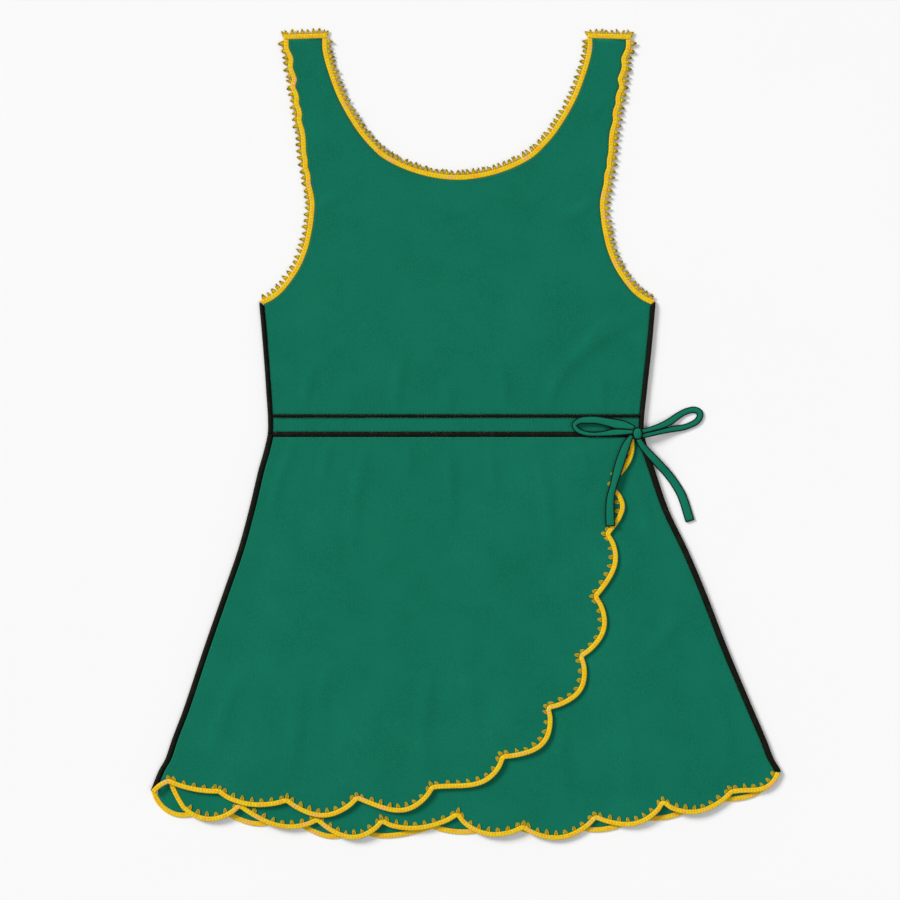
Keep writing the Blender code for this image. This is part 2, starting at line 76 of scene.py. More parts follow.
def add_node(tree, kind, inputs=(), **settings):
    """One shader node with its settings, and values or links for its inputs."""
    made = tree.nodes.new("ShaderNode" + kind)
    for name, value in settings.items():
        setattr(made, name, value)
    for name, value in dict(inputs).items():
        if isinstance(value, bpy.types.NodeSocket):
            tree.links.new(value, made.inputs[name])
        else:
            made.inputs[name].default_value = value
    return made


def fresh_material(name, roughness):
    """A new material with one Principled shader: its node tree and the shader."""
    material = bpy.data.materials.new(name)
    material.use_nodes = True
    shader = material.node_tree.nodes["Principled BSDF"]
    shader.inputs["Roughness"].default_value = roughness
    return material, material.node_tree, shader


def maths(tree, operation, *values):
    """The result of a sum on values or sockets."""
    return add_node(tree, "Math", dict(enumerate(values)), operation=operation).outputs[0]


def share_of(tree, value, low, high, top=1.0, bottom=0.0):
    """A value's place between low and high, as a share from the bottom to the top."""
    inputs = {"Value": value, "From Min": low, "From Max": high, "To Min": bottom, "To Max": top}
    return add_node(tree, "MapRange", inputs).outputs["Result"]


def noise(tree, place, scale, detail, low, high, top=1.0, roughness=0.5):
    """Where a noise is strong, as a share up to the top."""
    made = add_node(tree, "TexNoise", {"Vector": place, "Scale": scale, "Detail": detail,
                                       "Roughness": roughness})
    return share_of(tree, made.outputs["Fac"], low, high, top)


def paint(tree, shader, colour, *layers):
    """Colour a shader with one colour and others over it, each laid on by its share."""
    for share, over in layers:
        mix = add_node(tree, "Mix", {"Factor": share}, data_type="RGBA")
        for name, value in (("A", colour), ("B", over)):
            socket = [s for s in mix.inputs if s.name == name and s.type == "RGBA"][0]
            if isinstance(value, bpy.types.NodeSocket):
                tree.links.new(value, socket)
            else:
                socket.default_value = (*value, 1.0)
        colour = [s for s in mix.outputs if s.type == "RGBA"][0]
    tree.links.new(colour, shader.inputs["Base Color"])


def emboss(tree, shader, height, strength, distance):
    """Raise a shader's surface by the height, up to a distance in millimetres."""
    bump = add_node(tree, "Bump", {"Height": height, "Strength": strength,
                                   "Distance": distance * MM})
    tree.links.new(bump.outputs["Normal"], shader.inputs["Normal"])


table_material, tree, shader = fresh_material("pale_table_paint", 0.7)
place = add_node(tree, "TexCoord").outputs["Object"]
darker_table = tuple(TABLE_MOTTLE * value for value in TABLE_COLOUR)
paint(tree, shader, darker_table, (noise(tree, place, 3.0, 3.0, 0.0, 1.0), TABLE_COLOUR))

bpy.ops.mesh.primitive_plane_add(size=TABLE_SIDE * MM, location=(0.0, 0.0, -TABLE_DROP * MM))
table_top = bpy.context.object
table_top.name = "table_top"
table_top.data.materials.append(table_material)

for name, x, y, z, strength, softness in LAMPS:
    bpy.ops.object.light_add(type="SUN", location=(x, y, z))
    lamp = bpy.context.object
    lamp.name = name
    lamp.data.energy = strength
    lamp.data.angle = math.radians(softness)
    lamp.rotation_euler = (-lamp.location).to_track_quat("-Z", "Y").to_euler()

room = bpy.data.worlds.new("pale_room")
room.use_nodes = True
sky = room.node_tree.nodes["Background"].inputs
sky["Color"].default_value = (1.0, 1.0, 1.0, 1.0)
sky["Strength"].default_value = ROOM_LIGHT
bpy.context.scene.world = room
bpy.context.scene.view_settings.view_transform = "Standard"

bodice_low, bodice_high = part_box("bodice_front")
CENTRE_X = (bodice_low.x + bodice_high.x) / 2 / MM
WAIST_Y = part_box("waistband_front")[0].y / MM - LOWER_WAIST_PIPING / 2 - SEAM_GAP
camera_place = Vector((
    CENTRE_X + (PHOTO_SIDE / 2 - PHOTO_CENTRE_LINE) * PHOTO_MM,
    WAIST_Y + (PHOTO_WAIST_LINE - PHOTO_SIDE / 2) * PHOTO_MM,
    PHOTO_SIDE * PHOTO_MM * LENS / SENSOR + CLOTH_HEIGHT,
))
bpy.ops.object.camera_add(location=camera_place * MM, rotation=(0.0, 0.0, 0.0))
camera = bpy.context.object
camera.name = "camera"
camera.data.lens = LENS
camera.data.sensor_width = SENSOR
bpy.context.scene.camera = camera


# Bodice
# The front and back bodice are cut alike from fine jersey, with a deep scoop neck, and
# lie on each other. A gold braid with picots is sewn round the neck and the gently waved
# armholes, and a zigzag of green thread holds its inner edge down.
CLOTH = 1.2
FRONT_BED = CLOTH + SEAM_GAP
UPPER_WAIST_LINE = 19.4
UPPER_WAIST_PIPING = 2.6
BODICE_PIPING = 5.0
SKIRT_PIPING = 6.5
SIDE_PIPING_HEAD = 135.6
NECKLINE = [
    # half_width, height
    (142, 416),
    (141.8, 403.5),
    (136.5, 382.5),
    (124.5, 351),
    (106, 319.5),
    (88, 298.5),
    (75, 288),
    (53.5, 277.5),
    (28, 270),
    (0, 267),
]
ARMHOLE = [
    # half_width, height
    (176.8, 414.6),
    (176.6, 406.2),
    (173.8, 399.8),
    (171.8, 394.2),
    (172.4, 386),
    (170, 378.6),
    (168.1, 372.8),
    (169.8, 365.4),
    (167.4, 359.6),
    (165.8, 353.4),
    (166, 347.4),
    (163.8, 342),
    (162.7, 335.8),
    (163.2, 329.6),
    (160.1, 319),
    (158.9, 309),
    (158.4, 297),
    (156.8, 288),
    (156.6, 280.5),
    (154.1, 273),
    (153.5, 263.6),
    (151.3, 254.6),
    (149.7, 245),
    (149.7, 237),
    (150.5, 228),
    (152.3, 215),
    (157.2, 194),
    (166.2, 173),
    (180.7, 152.5),
    (192.5, 142),
    (203.4, 136.3),
]
SIDES = [
    # height, left, right
    (139, 208.3, 208.4),
    (89, 204, 203.9),
    (47, 201, 199.3),
    (5, 199, 195.8),
    (-16, 203, 200.6),
    (-37, 209, 207.5),
    (-79, 219, 222),
    (-121, 230.5, 242),
    (-163, 245, 260),
    (-226, 267, 284.5),
    (-289, 288, 311),
    (-320, 299.8, 324.4),
    (-341, 307, 332.6),
    (-353, 313.8, 339.6),
    (-372, 321.5, 345),
]

# Long soft folds of the front, each a low ridge along a straight line
FOLDS = [
    # x_from, y_from, x_to, y_to, half_width, height
    (-150, -120, -222, -430, 34, 2.6),
    (-58, -110, -96, -440, 38, 2.2),
    (42, -150, 52, -440, 36, 2.4),
    (168, -160, 232, -430, 32, 2.6),
    (120, -50, 20, -120, 28, 1.6),
    (-112, 130, -60, 74, 30, 1.5),
    (104, 140, 70, 80, 30, 1.7),
    (-10, 210, 12, 120, 36, 1.3),
]

# Fine creases of the front, each a slightly bowed ridge that fades out at both ends
CREASES = [
    # x_from, y_from, x_to, y_to, bow, half_width, height
    (-196, 124, -104, 64, 7, 6.5, 1.19),
    (-182, 92, -128, 58, 4, 4.5, 0.63),
    (196, 126, 96, 48, -9, 7.5, 1.40),
    (170, 124, 128, 92, -3, 4.5, 0.70),
    (-72, 262, 34, 236, -10, 8, 0.84),
    (30, 258, 92, 244, -6, 6, 0.56),
    (-161, 322, -132, 296, 3, 4.5, 0.63),
    (-150, 232, -112, 252, 5, 6, 0.77),
    (160, 356, 140, 330, -2, 4, 0.56),
    (146, 250, 104, 226, 5, 6.5, 0.84),
    (-160, 24, -149, 74, 3, 5, 0.91),
    (-113, 23, -118, 52, -2, 4, 0.56),
    (-62, 23, -52, 92, 5, 6, 0.98),
    (-9, 23, -14, 58, -2, 4.5, 0.63),
    (48, 23, 43, 82, -4, 5.5, 0.84),
    (97, 24, 108, 60, 3, 4.5, 0.70),
    (152, 24, 146, 66, -3, 5, 0.77),
    (-168, -4, -196, -92, -5, 6, 1.05),
    (-131, -4, -142, -54, -2, 4.5, 0.70),
    (-92, -4, -108, -128, -6, 7, 0.98),
    (-50, -4, -54, -46, 2, 4, 0.63),
    (-14, -4, -10, -104, 5, 6, 0.84),
    (30, -4, 38, -62, 3, 4.5, 0.70),
    (78, -4, 96, -132, 7, 6.5, 0.98),
    (124, -4, 137, -50, 3, 4, 0.56),
    (178, -30, 204, -118, 4, 5.5, 0.84),
    (-258, -352, -216, -236, 8, 9, 1.12),
    (-182, -368, -170, -268, -6, 8, 0.84),
    (-140, -330, -128, -214, 7, 9, 0.77),
    (-34, -356, -24, -238, 6, 8, 0.84),
    (18, -320, -2, -216, -5, 8, 0.70),
    (118, -390, 112, -290, 6, 8.5, 0.91),
    (178, -386, 168, -262, -7, 9, 0.84),
    (286, -352, 252, -232, -8, 8.5, 1.05),
    (-190, -150, -90, -196, 8, 9, 0.70),
    (66, -196, -40, -176, -9, 9, 0.63),
    (236, -180, 184, -240, 7, 8, 0.77),
]

# Shallow troughs that lift the outer face of the back off the table
BACK_CREASES = [
    # x_from, y_from, x_to, y_to, bow, half_width, depth
    (-190, 118, -92, 40, 8, 6, 0.42),
    (184, 112, 118, 66, -6, 5, 0.36),
    (-58, 236, 48, 214, -9, 7, 0.34),
    (-141, 24, -126, 84, 4, 4.5, 0.36),
    (-76, 24, -84, 58, -2, 4, 0.28),
    (-20, 24, -8, 98, 5, 5, 0.38),
    (64, 24, 58, 72, -3, 4.5, 0.30),
    (128, 24, 140, 62, 3, 4.5, 0.34),
    (-178, -4, -214, -132, -6, 6, 0.42),
    (-118, -4, -132, -70, -3, 5, 0.34),
    (-66, -4, -78, -168, -8, 7, 0.42),
    (-12, -4, -14, -64, 2, 4.5, 0.30),
    (36, -4, 48, -140, 6, 6.5, 0.40),
    (92, -4, 104, -58, 3, 5, 0.32),
    (146, -4, 186, -150, 8, 6.5, 0.42),
    (-232, -362, -196, -214, 9, 9, 0.45),
    (-122, -382, -120, -258, -7, 8, 0.36),
    (-28, -392, -12, -236, 8, 9, 0.42),
    (88, -384, 76, -282, -6, 8, 0.34),
    (196, -378, 168, -228, -9, 9, 0.44),
    (282, -352, 246, -246, 7, 8, 0.36),
]

# Small gathers at the waist seams, lower between the two rows of piping
PUCKER_HEIGHT = 0.17
PUCKERS_IN_BAND = 0.4
PUCKER_REACH_UP = 9.0
PUCKER_REACH_DOWN = 11.0
PUCKER_WIDTH = 1.75

# How uneven the cloth lies, and limits for the relief of front and back
UNEVEN_BROAD = 0.11
UNEVEN_FINE = 0.05
CREASE_ENDS = 0.8
LOWEST_RELIEF = -0.2
DEEPEST_HOLLOW = 0.5

# How the edge of the cloth rounds over: how far in, and how far down
ROLLED_EDGE = [(0.0, 0.48), (0.35, 0.14), (1.0, 0.0)]
OUTLINE_STEP = 2.5
FRONT_PITCH = 4.0
BACK_PITCH = 7.0


def spline(rows, steps):
    """A smooth curve through all rows, with every column carried along it."""
    found = []
    last = len(rows) - 1
    for index in range(last):
        before = rows[max(index - 1, 0)]
        start = rows[index]
        end = rows[index + 1]
        after = rows[min(index + 2, last)]
        for step in range(steps):
            t = step / steps
            found.append(tuple(
                0.5 * (2 * b + (c - a) * t + (2 * a - 5 * b + 4 * c - d) * t ** 2
                       + (3 * b - a - 3 * c + d) * t ** 3)
                for a, b, c, d in zip(before, start, end, after)
            ))
    found.append(tuple(rows[last]))
    return found


def spaced(points, pitch):
    """Points at an even distance near the pitch along a polyline."""
    lengths = [0.0]
    for here, there in zip(points, points[1:]):
        lengths.append(lengths[-1] + math.dist(here, there))
    count = max(1, round(lengths[-1] / pitch))
    found = []
    index = 0
    for step in range(count + 1):
        target = lengths[-1] * step / count
        while index < len(points) - 2 and lengths[index + 1] < target:
            index += 1
        share = (target - lengths[index]) / max(lengths[index + 1] - lengths[index], 1e-9)
        here = points[index]
        there = points[index + 1]
        found.append(tuple(a + (b - a) * share for a, b in zip(here, there)))
    return found


def outward(points, distance):
    """Points moved to the right-hand side of the way that the curve runs."""
    moved = []
    for index, (x, y) in enumerate(points):
        before = Vector(points[max(index - 1, 0)])
        after = Vector(points[min(index + 1, len(points) - 1)])
        way = (after - before).normalized()
        moved.append((x + way.y * distance, y - way.x * distance))
    return moved


def mirrored(points):
    """The same edge on the other side, running the other way."""
    return [(-x, y) for x, y in reversed(points)]


def side_edge(hand, height):
    """Outer edge of a side seam at a height. The hand is -1 on the left."""
    column = 1 if hand < 0 else 2
    for upper, lower in zip(SIDES, SIDES[1:]):
        if height >= lower[0] or lower is SIDES[-1]:
            break
    index = SIDES.index(upper)
    before = SIDES[max(index - 1, 0)]
    after = SIDES[min(index + 2, len(SIDES) - 1)]
    t = (upper[0] - height) / (upper[0] - lower[0])
    span = upper[0] - lower[0]
    slope_in = (lower[column] - before[column]) / (before[0] - lower[0]) * span
    slope_out = (after[column] - upper[column]) / (upper[0] - after[0]) * span
    value = ((2 * t ** 3 - 3 * t ** 2 + 1) * upper[column]
             + (t ** 3 - 2 * t ** 2 + t) * slope_in
             + (3 * t ** 2 - 2 * t ** 3) * lower[column]
             + (t ** 3 - t ** 2) * slope_out)
    return hand * value


def panel_side(hand, top, foot, piping):
    """Edge of a panel beside the side piping, from the top down."""
    count = max(1, round((top - foot) / OUTLINE_STEP))
    heights = [top + (foot - top) * step / count for step in range(count + 1)]
    return [(side_edge(hand, y) - hand * (piping + SEAM_GAP), y) for y in heights]


def front_folds(x, y):
    """Height that the long soft folds add to the front at a place."""
    rise = 0.0 * x
    for x_from, y_from, x_to, y_to, half_width, height in FOLDS:
        run_x, run_y = x_to - x_from, y_to - y_from
        share = ((x - x_from) * run_x + (y - y_from) * run_y) / (run_x ** 2 + run_y ** 2)
        share = np.clip(share, 0.0, 1.0)
        away = np.hypot(x - x_from - run_x * share, y - y_from - run_y * share)
        rise = rise + height * np.exp(-0.5 * (away / half_width) ** 2)
    return rise


def creased(x, y, rows):
    """Height of a table of creases at a place."""
    rise = 0.0 * x
    for x_from, y_from, x_to, y_to, bow, half_width, height in rows:
        run_x, run_y = x_to - x_from, y_to - y_from
        length = math.hypot(run_x, run_y)
        share = ((x - x_from) * run_x + (y - y_from) * run_y) / length ** 2
        share = np.clip(share, 0.0, 1.0)
        aside = 4 * bow * share * (1 - share) / length
        away = np.hypot(x - x_from - run_x * share + run_y * aside,
                        y - y_from - run_y * share - run_x * aside)
        fade = np.sin(np.pi * share) ** CREASE_ENDS
        rise = rise + height * fade * np.exp(-(away / half_width) ** 2)
    return rise


def seam_puckers(x, y):
    """Small uneven gathers where the cloth is caught in the two waist seams."""
    above = np.maximum(y - UPPER_WAIST_LINE, 0.0)
    below = np.maximum(-y, 0.0)
    inside_band = (y < UPPER_WAIST_LINE) & (y > 0.0)
    fade = np.exp(-above / PUCKER_REACH_UP) * np.exp(-below / PUCKER_REACH_DOWN)
    fade = fade * np.where(inside_band, PUCKERS_IN_BAND, 1.0)
    wave = np.sin(x / PUCKER_WIDTH + 1.6 * np.sin(x / 11.0))
    return PUCKER_HEIGHT * fade * wave * (0.6 + 0.4 * np.sin(x / 27.0 + 1.0))


def unevenness(x, y):
    """The faint uneven lie of any laid cloth."""
    first = np.sin(x / 19.0 + 1.3 * np.sin(y / 37.0)) * np.sin(y / 27.0 + 0.7)
    second = np.sin(x / 9.0 + y / 13.0) * np.sin(y / 11.0 - x / 31.0)
    return UNEVEN_BROAD * first + UNEVEN_FINE * second


def front_relief(x, y):
    """The whole relief of the front cloth."""
    x, y = np.asarray(x, float), np.asarray(y, float)
    rise = front_folds(x, y) + creased(x, y, CREASES) + seam_puckers(x, y) + unevenness(x, y)
    return np.maximum(rise, LOWEST_RELIEF)


def level(x, y):
    """No relief."""
    return 0.0 * np.asarray(x, float)


def back_hollows(x, y):
    """How far the outer face of the back lies above the table."""
    x, y = np.asarray(x, float), np.asarray(y, float)
    return np.minimum(creased(x, y, BACK_CREASES), DEEPEST_HOLLOW)


def inside(places, outline):
    """Which of the places lie within a closed outline."""
    x, y = places[:, 0], places[:, 1]
    found = np.zeros(len(places), bool)
    for (ax, ay), (bx, by) in zip(outline, outline[1:] + outline[:1]):
        if ay != by:
            crosses = (ay > y) != (by > y)
            found ^= crosses & (x < (bx - ax) * (y - ay) / (by - ay) + ax)
    return found


def grid_points(outline, pitch):
    """Rows of evenly spread points inside an outline, every other row set over."""
    corners = np.array(outline)
    low, high = corners.min(axis=0), corners.max(axis=0)
    rise = pitch * math.sqrt(3) / 2
    rows = np.arange(low[1], high[1], rise)
    columns = np.arange(low[0], high[0], pitch)
    x, y = np.meshgrid(columns, rows)
    x[1::2] += pitch / 2
    places = np.stack([x.ravel(), y.ravel()], axis=1)
    places = places[inside(places, outline)]
    tree = KDTree(len(outline))
    for index, (cx, cy) in enumerate(outline):
        tree.insert((cx, cy, 0.0), index)
    tree.balance()
    room_needed = 0.5 * pitch + ROLLED_EDGE[-1][0]
    return [(px, py) for px, py in places if tree.find((px, py, 0.0))[2] > room_needed]


def tube_faces(stations, size, first=0):
    """The sides and the two closed ends of a tube of rings, from its first point on."""
    last = first + (stations - 1) * size
    faces = []
    for here in range(first, last, size):
        for k in range(size):
            after = (k + 1) % size
            faces.append((here + k, here + after, here + size + after, here + size + k))
    return faces + [tuple(range(first, first + size)), tuple(range(last, last + size))]


def add_piece(name, points, faces, material, node=None, uv=None, shade=None):
    """One finished piece, given in millimetres about the centre line and the waist.

    It stands for the node, whose own part is hidden.
    """
    places = np.array(points, float) + (CENTRE_X, WAIST_Y, 0.0)
    mesh = bpy.data.meshes.new(name)
    mesh.from_pydata((places * MM).tolist(), [], faces)
    shaper = bmesh.new()
    shaper.from_mesh(mesh)
    bmesh.ops.recalc_face_normals(shaper, faces=shaper.faces)
    shaper.to_mesh(mesh)
    shaper.free()
    mesh.shade_smooth()
    mesh.materials.append(material)
    if uv is not None:
        corner = np.zeros(len(mesh.loops), np.int32)
        mesh.loops.foreach_get("vertex_index", corner)
        layer = mesh.uv_layers.new(name="thread_map")
        layer.data.foreach_set("uv", (np.array(uv, float) * MM)[corner].ravel())
        tint = mesh.attributes.new("tip_shade", "FLOAT", "POINT")
        tint.data.foreach_set("value", np.array(shade, np.float32))
    piece = bpy.data.objects.new(name, mesh)
    bpy.context.collection.objects.link(piece)
    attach(piece, "root")
    if node:
        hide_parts(node)
    return piece


def knit_panel(node, outline, bed, relief, pitch, hollows):
    """A wall of cloth over a relief, with its edges rounded over on both faces."""
    corners = []
    drops = []
    for inset, drop in ROLLED_EDGE:
        ring = outward(outline + outline[:1], -inset)[:-1]
        corners += ring
        drops += [drop] * len(ring)
    corners += grid_points(outline, pitch)
    drops += [0.0] * (len(corners) - len(drops))
    boundary = list(range(len(outline)))
    made = delaunay_2d_cdt([Vector(p) for p in corners], [], [boundary], 1, 1e-4)
    places, faces, origins = made[0], made[2], made[3]
    x = np.array([p.x for p in places])
    y = np.array([p.y for p in places])
    drop = np.array([drops[found[0]] if found else 0.0 for found in origins])
    under = bed + relief(x, y) + np.maximum(drop, hollows(x, y))
    over = bed + relief(x, y) + CLOTH - drop
    points = np.concatenate([np.stack([x, y, under], 1), np.stack([x, y, over], 1)])
    count = len(places)
    walls = [tuple(reversed(face)) for face in faces]
    walls += [tuple(index + count for index in face) for face in faces]
    edges = {(face[k], face[(k + 1) % 3]) for face in faces for k in range(3)}
    for start, stop in sorted(edges):
        if (stop, start) not in edges:
            walls.append((start, stop, stop + count, start + count))
    return add_piece(node + "_cloth", points, walls, green_jersey, node)


# Fine jersey: wales of small V stitches in a slightly uneven green
KNIT_GREEN = (0.0045, 0.150, 0.090)
KNIT_GREEN_DEEP = (0.0035, 0.134, 0.080)
KNIT_GREEN_PALE = (0.0060, 0.168, 0.102)
WALE = 1.4
COURSE = 1.1


def jersey(name, colour, deep, pale):
    """Knit cloth whose stitches follow the plan of the piece."""
    material, tree, shader = fresh_material(name, 0.85)
    place = add_node(tree, "TexCoord").outputs["Object"]
    axes = add_node(tree, "SeparateXYZ", {"Vector": place}).outputs
    across = maths(tree, "PINGPONG", axes["X"], WALE * MM / 2)
    slanted = maths(tree, "ADD", axes["Y"], across)
    courses = maths(tree, "SINE", maths(tree, "MULTIPLY", slanted, 2 * math.pi / (COURSE * MM)))
    wales = maths(tree, "MULTIPLY", across, 2.0 / (WALE * MM))
    stitch = maths(tree, "ADD", maths(tree, "MULTIPLY", courses, 0.25), wales)
    emboss(tree, shader, stitch, 0.35, 0.18)
    paint(tree, shader, deep, (noise(tree, place, 26.0, 4.0, 0.35, 0.65), colour),
          (noise(tree, place, 620.0, 2.0, 0.40, 0.72, 0.8), pale))
    shader.inputs["Sheen Weight"].default_value = 0.06
    shader.inputs["Sheen Roughness"].default_value = 0.5
    shader.inputs["Sheen Tint"].default_value = (*pale, 1.0)
    shader.inputs["Specular IOR Level"].default_value = 0.06
    return material


green_jersey = jersey("green_jersey", KNIT_GREEN, KNIT_GREEN_DEEP, KNIT_GREEN_PALE)

# Gold braid, plaited in two ridges, with picots of thread beyond it
BRAID_WIDTH = 5.1
BRAID_STEP = 0.7
PLAIT = 3.4
PLAIT_RELIEF = 0.10
CHEVRON = 0.9
BRAID_SECTION = [
    # across, height
    (0.00, 0.35),
    (0.05, 0.74),
    (0.22, 0.93),
    (0.40, 0.82),
    (0.50, 0.85),
    (0.60, 0.82),
    (0.78, 0.93),
    (0.95, 0.74),
    (1.00, 0.35),
]
PICOT_HEIGHT = 5.0
PICOT_THREAD = 0.46
PICOT_STEPS = 10
PICOT_SIDES = 5
PICOT_SINK = 0.5
PICOT_FILL = 0.22
PICOT_FILL_PLACE = 0.3
PICOT_FILL_TINT = 0.6
PICOT_BLUNTNESS = 0.92
BULB_NARROWING = 0.35
PICOT_WIDTHS = (0.82, 1.2)
PICOT_TINTS = (0.6, 1.0)

# Picots beyond the edges and on the hems. Width and height are shares of the pitch and of
# the picot height, tip and middle are shares of olive, and even says how many picots on
# each side a picot takes its way from.
EDGE_PICOTS = {"width": 0.66, "pinch": (0.3, 0.7), "height": (0.86, 1.32), "lean": 1.4,
               "drift": 0.0, "tip": 1.0, "middle": 0.15, "even": 0}
HEM_PICOTS = {"width": 0.37, "pinch": (-0.4, 0.6), "height": (0.72, 1.12), "lean": 0.9,
              "drift": 0.9, "tip": 0.5, "middle": 0.85, "even": 2}

UNDERARM_MITRE = 0.47
MITRE_REACH = 10.0
STREAK_STRETCH = 0.28
PLY_TURN = 0.6
PATTERN_APART = 61.0
NECK_PICOT_PITCH = 5.9
ARMHOLE_PICOT_PITCH = 6.9
ARMHOLE_EDGE_STEP = 1.4
EDGE_BRAID_THICK = 1.4
BACK_BRAID_BED = 0.2
BACK_BRAID_THICK = 1.0
GOLD = (0.80, 0.54, 0.010)
GOLD_ORANGE = (0.88, 0.36, 0.008)
GOLD_PALE = (0.84, 0.67, 0.02)
GOLD_ROSE_HIGHLIGHT = (0.86, 0.40, 0.18)
GOLD_GROOVE_SHADE = (0.46, 0.25, 0.005)
OLIVE = (0.115, 0.115, 0.008)


def gold_thread(name):
    """Shiny gold thread with orange streaks, rose painted highlights and painted shade in the
    plait's grooves, turning olive at picot tips.
    """
    material, tree, shader = fresh_material(name, 0.48)
    threads = add_node(tree, "UVMap", uv_map="thread_map").outputs["UV"]
    drawn_out = add_node(tree, "Mapping", {
        "Vector": threads, "Scale": (STREAK_STRETCH, 1.0, 1.0)}).outputs["Vector"]
    axes = add_node(tree, "SeparateXYZ", {"Vector": threads}).outputs
    half = BRAID_WIDTH * MM / 2
    aside = maths(tree, "ABSOLUTE", maths(tree, "SUBTRACT", axes["Y"], half))
    slanted = maths(tree, "ADD", axes["X"],
                    maths(tree, "MULTIPLY", aside, CHEVRON * PLAIT / BRAID_WIDTH))
    swell = maths(tree, "COSINE", maths(tree, "MULTIPLY", slanted, 2 * math.pi / (PLAIT * MM)))
    orange = maths(tree, "MULTIPLY", noise(tree, drawn_out, 330.0, 3.0, 0.48, 0.60, roughness=0.6),
                   share_of(tree, aside, 0.0, half, top=0.3, bottom=1.1))
    paint(tree, shader, GOLD, (orange, GOLD_ORANGE),
          (noise(tree, drawn_out, 900.0, 2.0, 0.50, 0.66, 0.7), GOLD_PALE),
          # Painted highlights: small rose flecks stand in for glints on the shiny thread.
          (noise(tree, drawn_out, 210.0, 1.0, 0.62, 0.70, 0.8), GOLD_ROSE_HIGHLIGHT),
          # Painted shade: darker gold laid into the grooves between the plait's ridges.
          (share_of(tree, swell, -0.3, -1.0, 0.45), GOLD_GROOVE_SHADE),
          (add_node(tree, "Attribute", attribute_name="tip_shade").outputs["Fac"], OLIVE))
    turned = add_node(tree, "Mapping", {"Vector": threads, "Rotation": (0.0, 0.0, PLY_TURN)})
    plies = add_node(tree, "TexWave", {"Vector": turned.outputs["Vector"], "Scale": 480.0,
                                       "Distortion": 0.6, "Detail": 1.0})
    emboss(tree, shader, plies.outputs["Fac"], 0.5, 0.12)
    shader.inputs["Specular IOR Level"].default_value = 0.12
    return material


gold_braid = gold_thread("gold_picot_thread")


def picot(base, out, way, height, width, pinch, lean, middle, tip, middle_tip):
    """One small loop of thread with its middle filled: points, faces, UVs and tip shade.

    A pinch above zero makes a pointed loop, and one below zero a bulb on a narrow foot.
    """
    foot = width / (1 + BULB_NARROWING * max(0.0, -pinch))
    line = []
    for step in range(PICOT_STEPS + 1):
        turn = math.pi * step / PICOT_STEPS
        aside = -0.5 * foot * math.cos(turn) * (1 - pinch * math.sin(turn))
        reach = height * math.sin(turn) ** PICOT_BLUNTNESS
        line.append((aside + lean * math.sin(turn) ** 2, reach - PICOT_SINK))
    points, uv, shade = [], [], []
    travelled = 0.0
    for index, (aside, reach) in enumerate(line):
        before = line[max(index - 1, 0)]
        after = line[min(index + 1, PICOT_STEPS)]
        run = math.hypot(after[0] - before[0], after[1] - before[1])
        normal = ((after[1] - before[1]) / run, (before[0] - after[0]) / run)
        travelled += math.dist(before, (aside, reach))
        for side in range(PICOT_SIDES):
            angle = 2 * math.pi * side / PICOT_SIDES
            a = aside + PICOT_THREAD * math.cos(angle) * normal[0]
            r = reach + PICOT_THREAD * math.cos(angle) * normal[1]
            points.append((base[0] + way[0] * a + out[0] * r,
                           base[1] + way[1] * a + out[1] * r,
                           middle + PICOT_THREAD * math.sin(angle)))
            uv.append((travelled, PICOT_THREAD * angle))
            shade.append(tip * min(1.0, 0.12 + 0.9 * max(0.0, reach + PICOT_SINK) / height))
    faces = tube_faces(PICOT_STEPS + 1, PICOT_SIDES)
    first = len(points)
    for aside, reach in line:
        points.append((base[0] + way[0] * aside + out[0] * reach,
                       base[1] + way[1] * aside + out[1] * reach, middle))
        uv.append((aside, reach))
        shade.append(PICOT_FILL_TINT * tip * max(0.0, reach / height))
    reach = height * PICOT_FILL_PLACE
    for rise in (PICOT_FILL, -PICOT_FILL):
        points.append((base[0] + out[0] * reach, base[1] + out[1] * reach, middle + rise))
        uv.append((0.0, reach))
        shade.append(middle_tip)
    crown = first + len(line)
    for k in range(first, crown):
        after = k + 1 if k + 1 < crown else first
        faces += [(k, after, crown), (after, k, crown + 1)]
    return points, faces, uv, shade


def softened(line):
    """A line of close points with its sharp corners just rounded."""
    for _ in range(2):
        inner = [tuple((a + 2 * b + c) / 4 for a, b, c in zip(*three))
                 for three in zip(line, line[1:], line[2:])]
        line = [line[0]] + inner + [line[-1]]
    return line


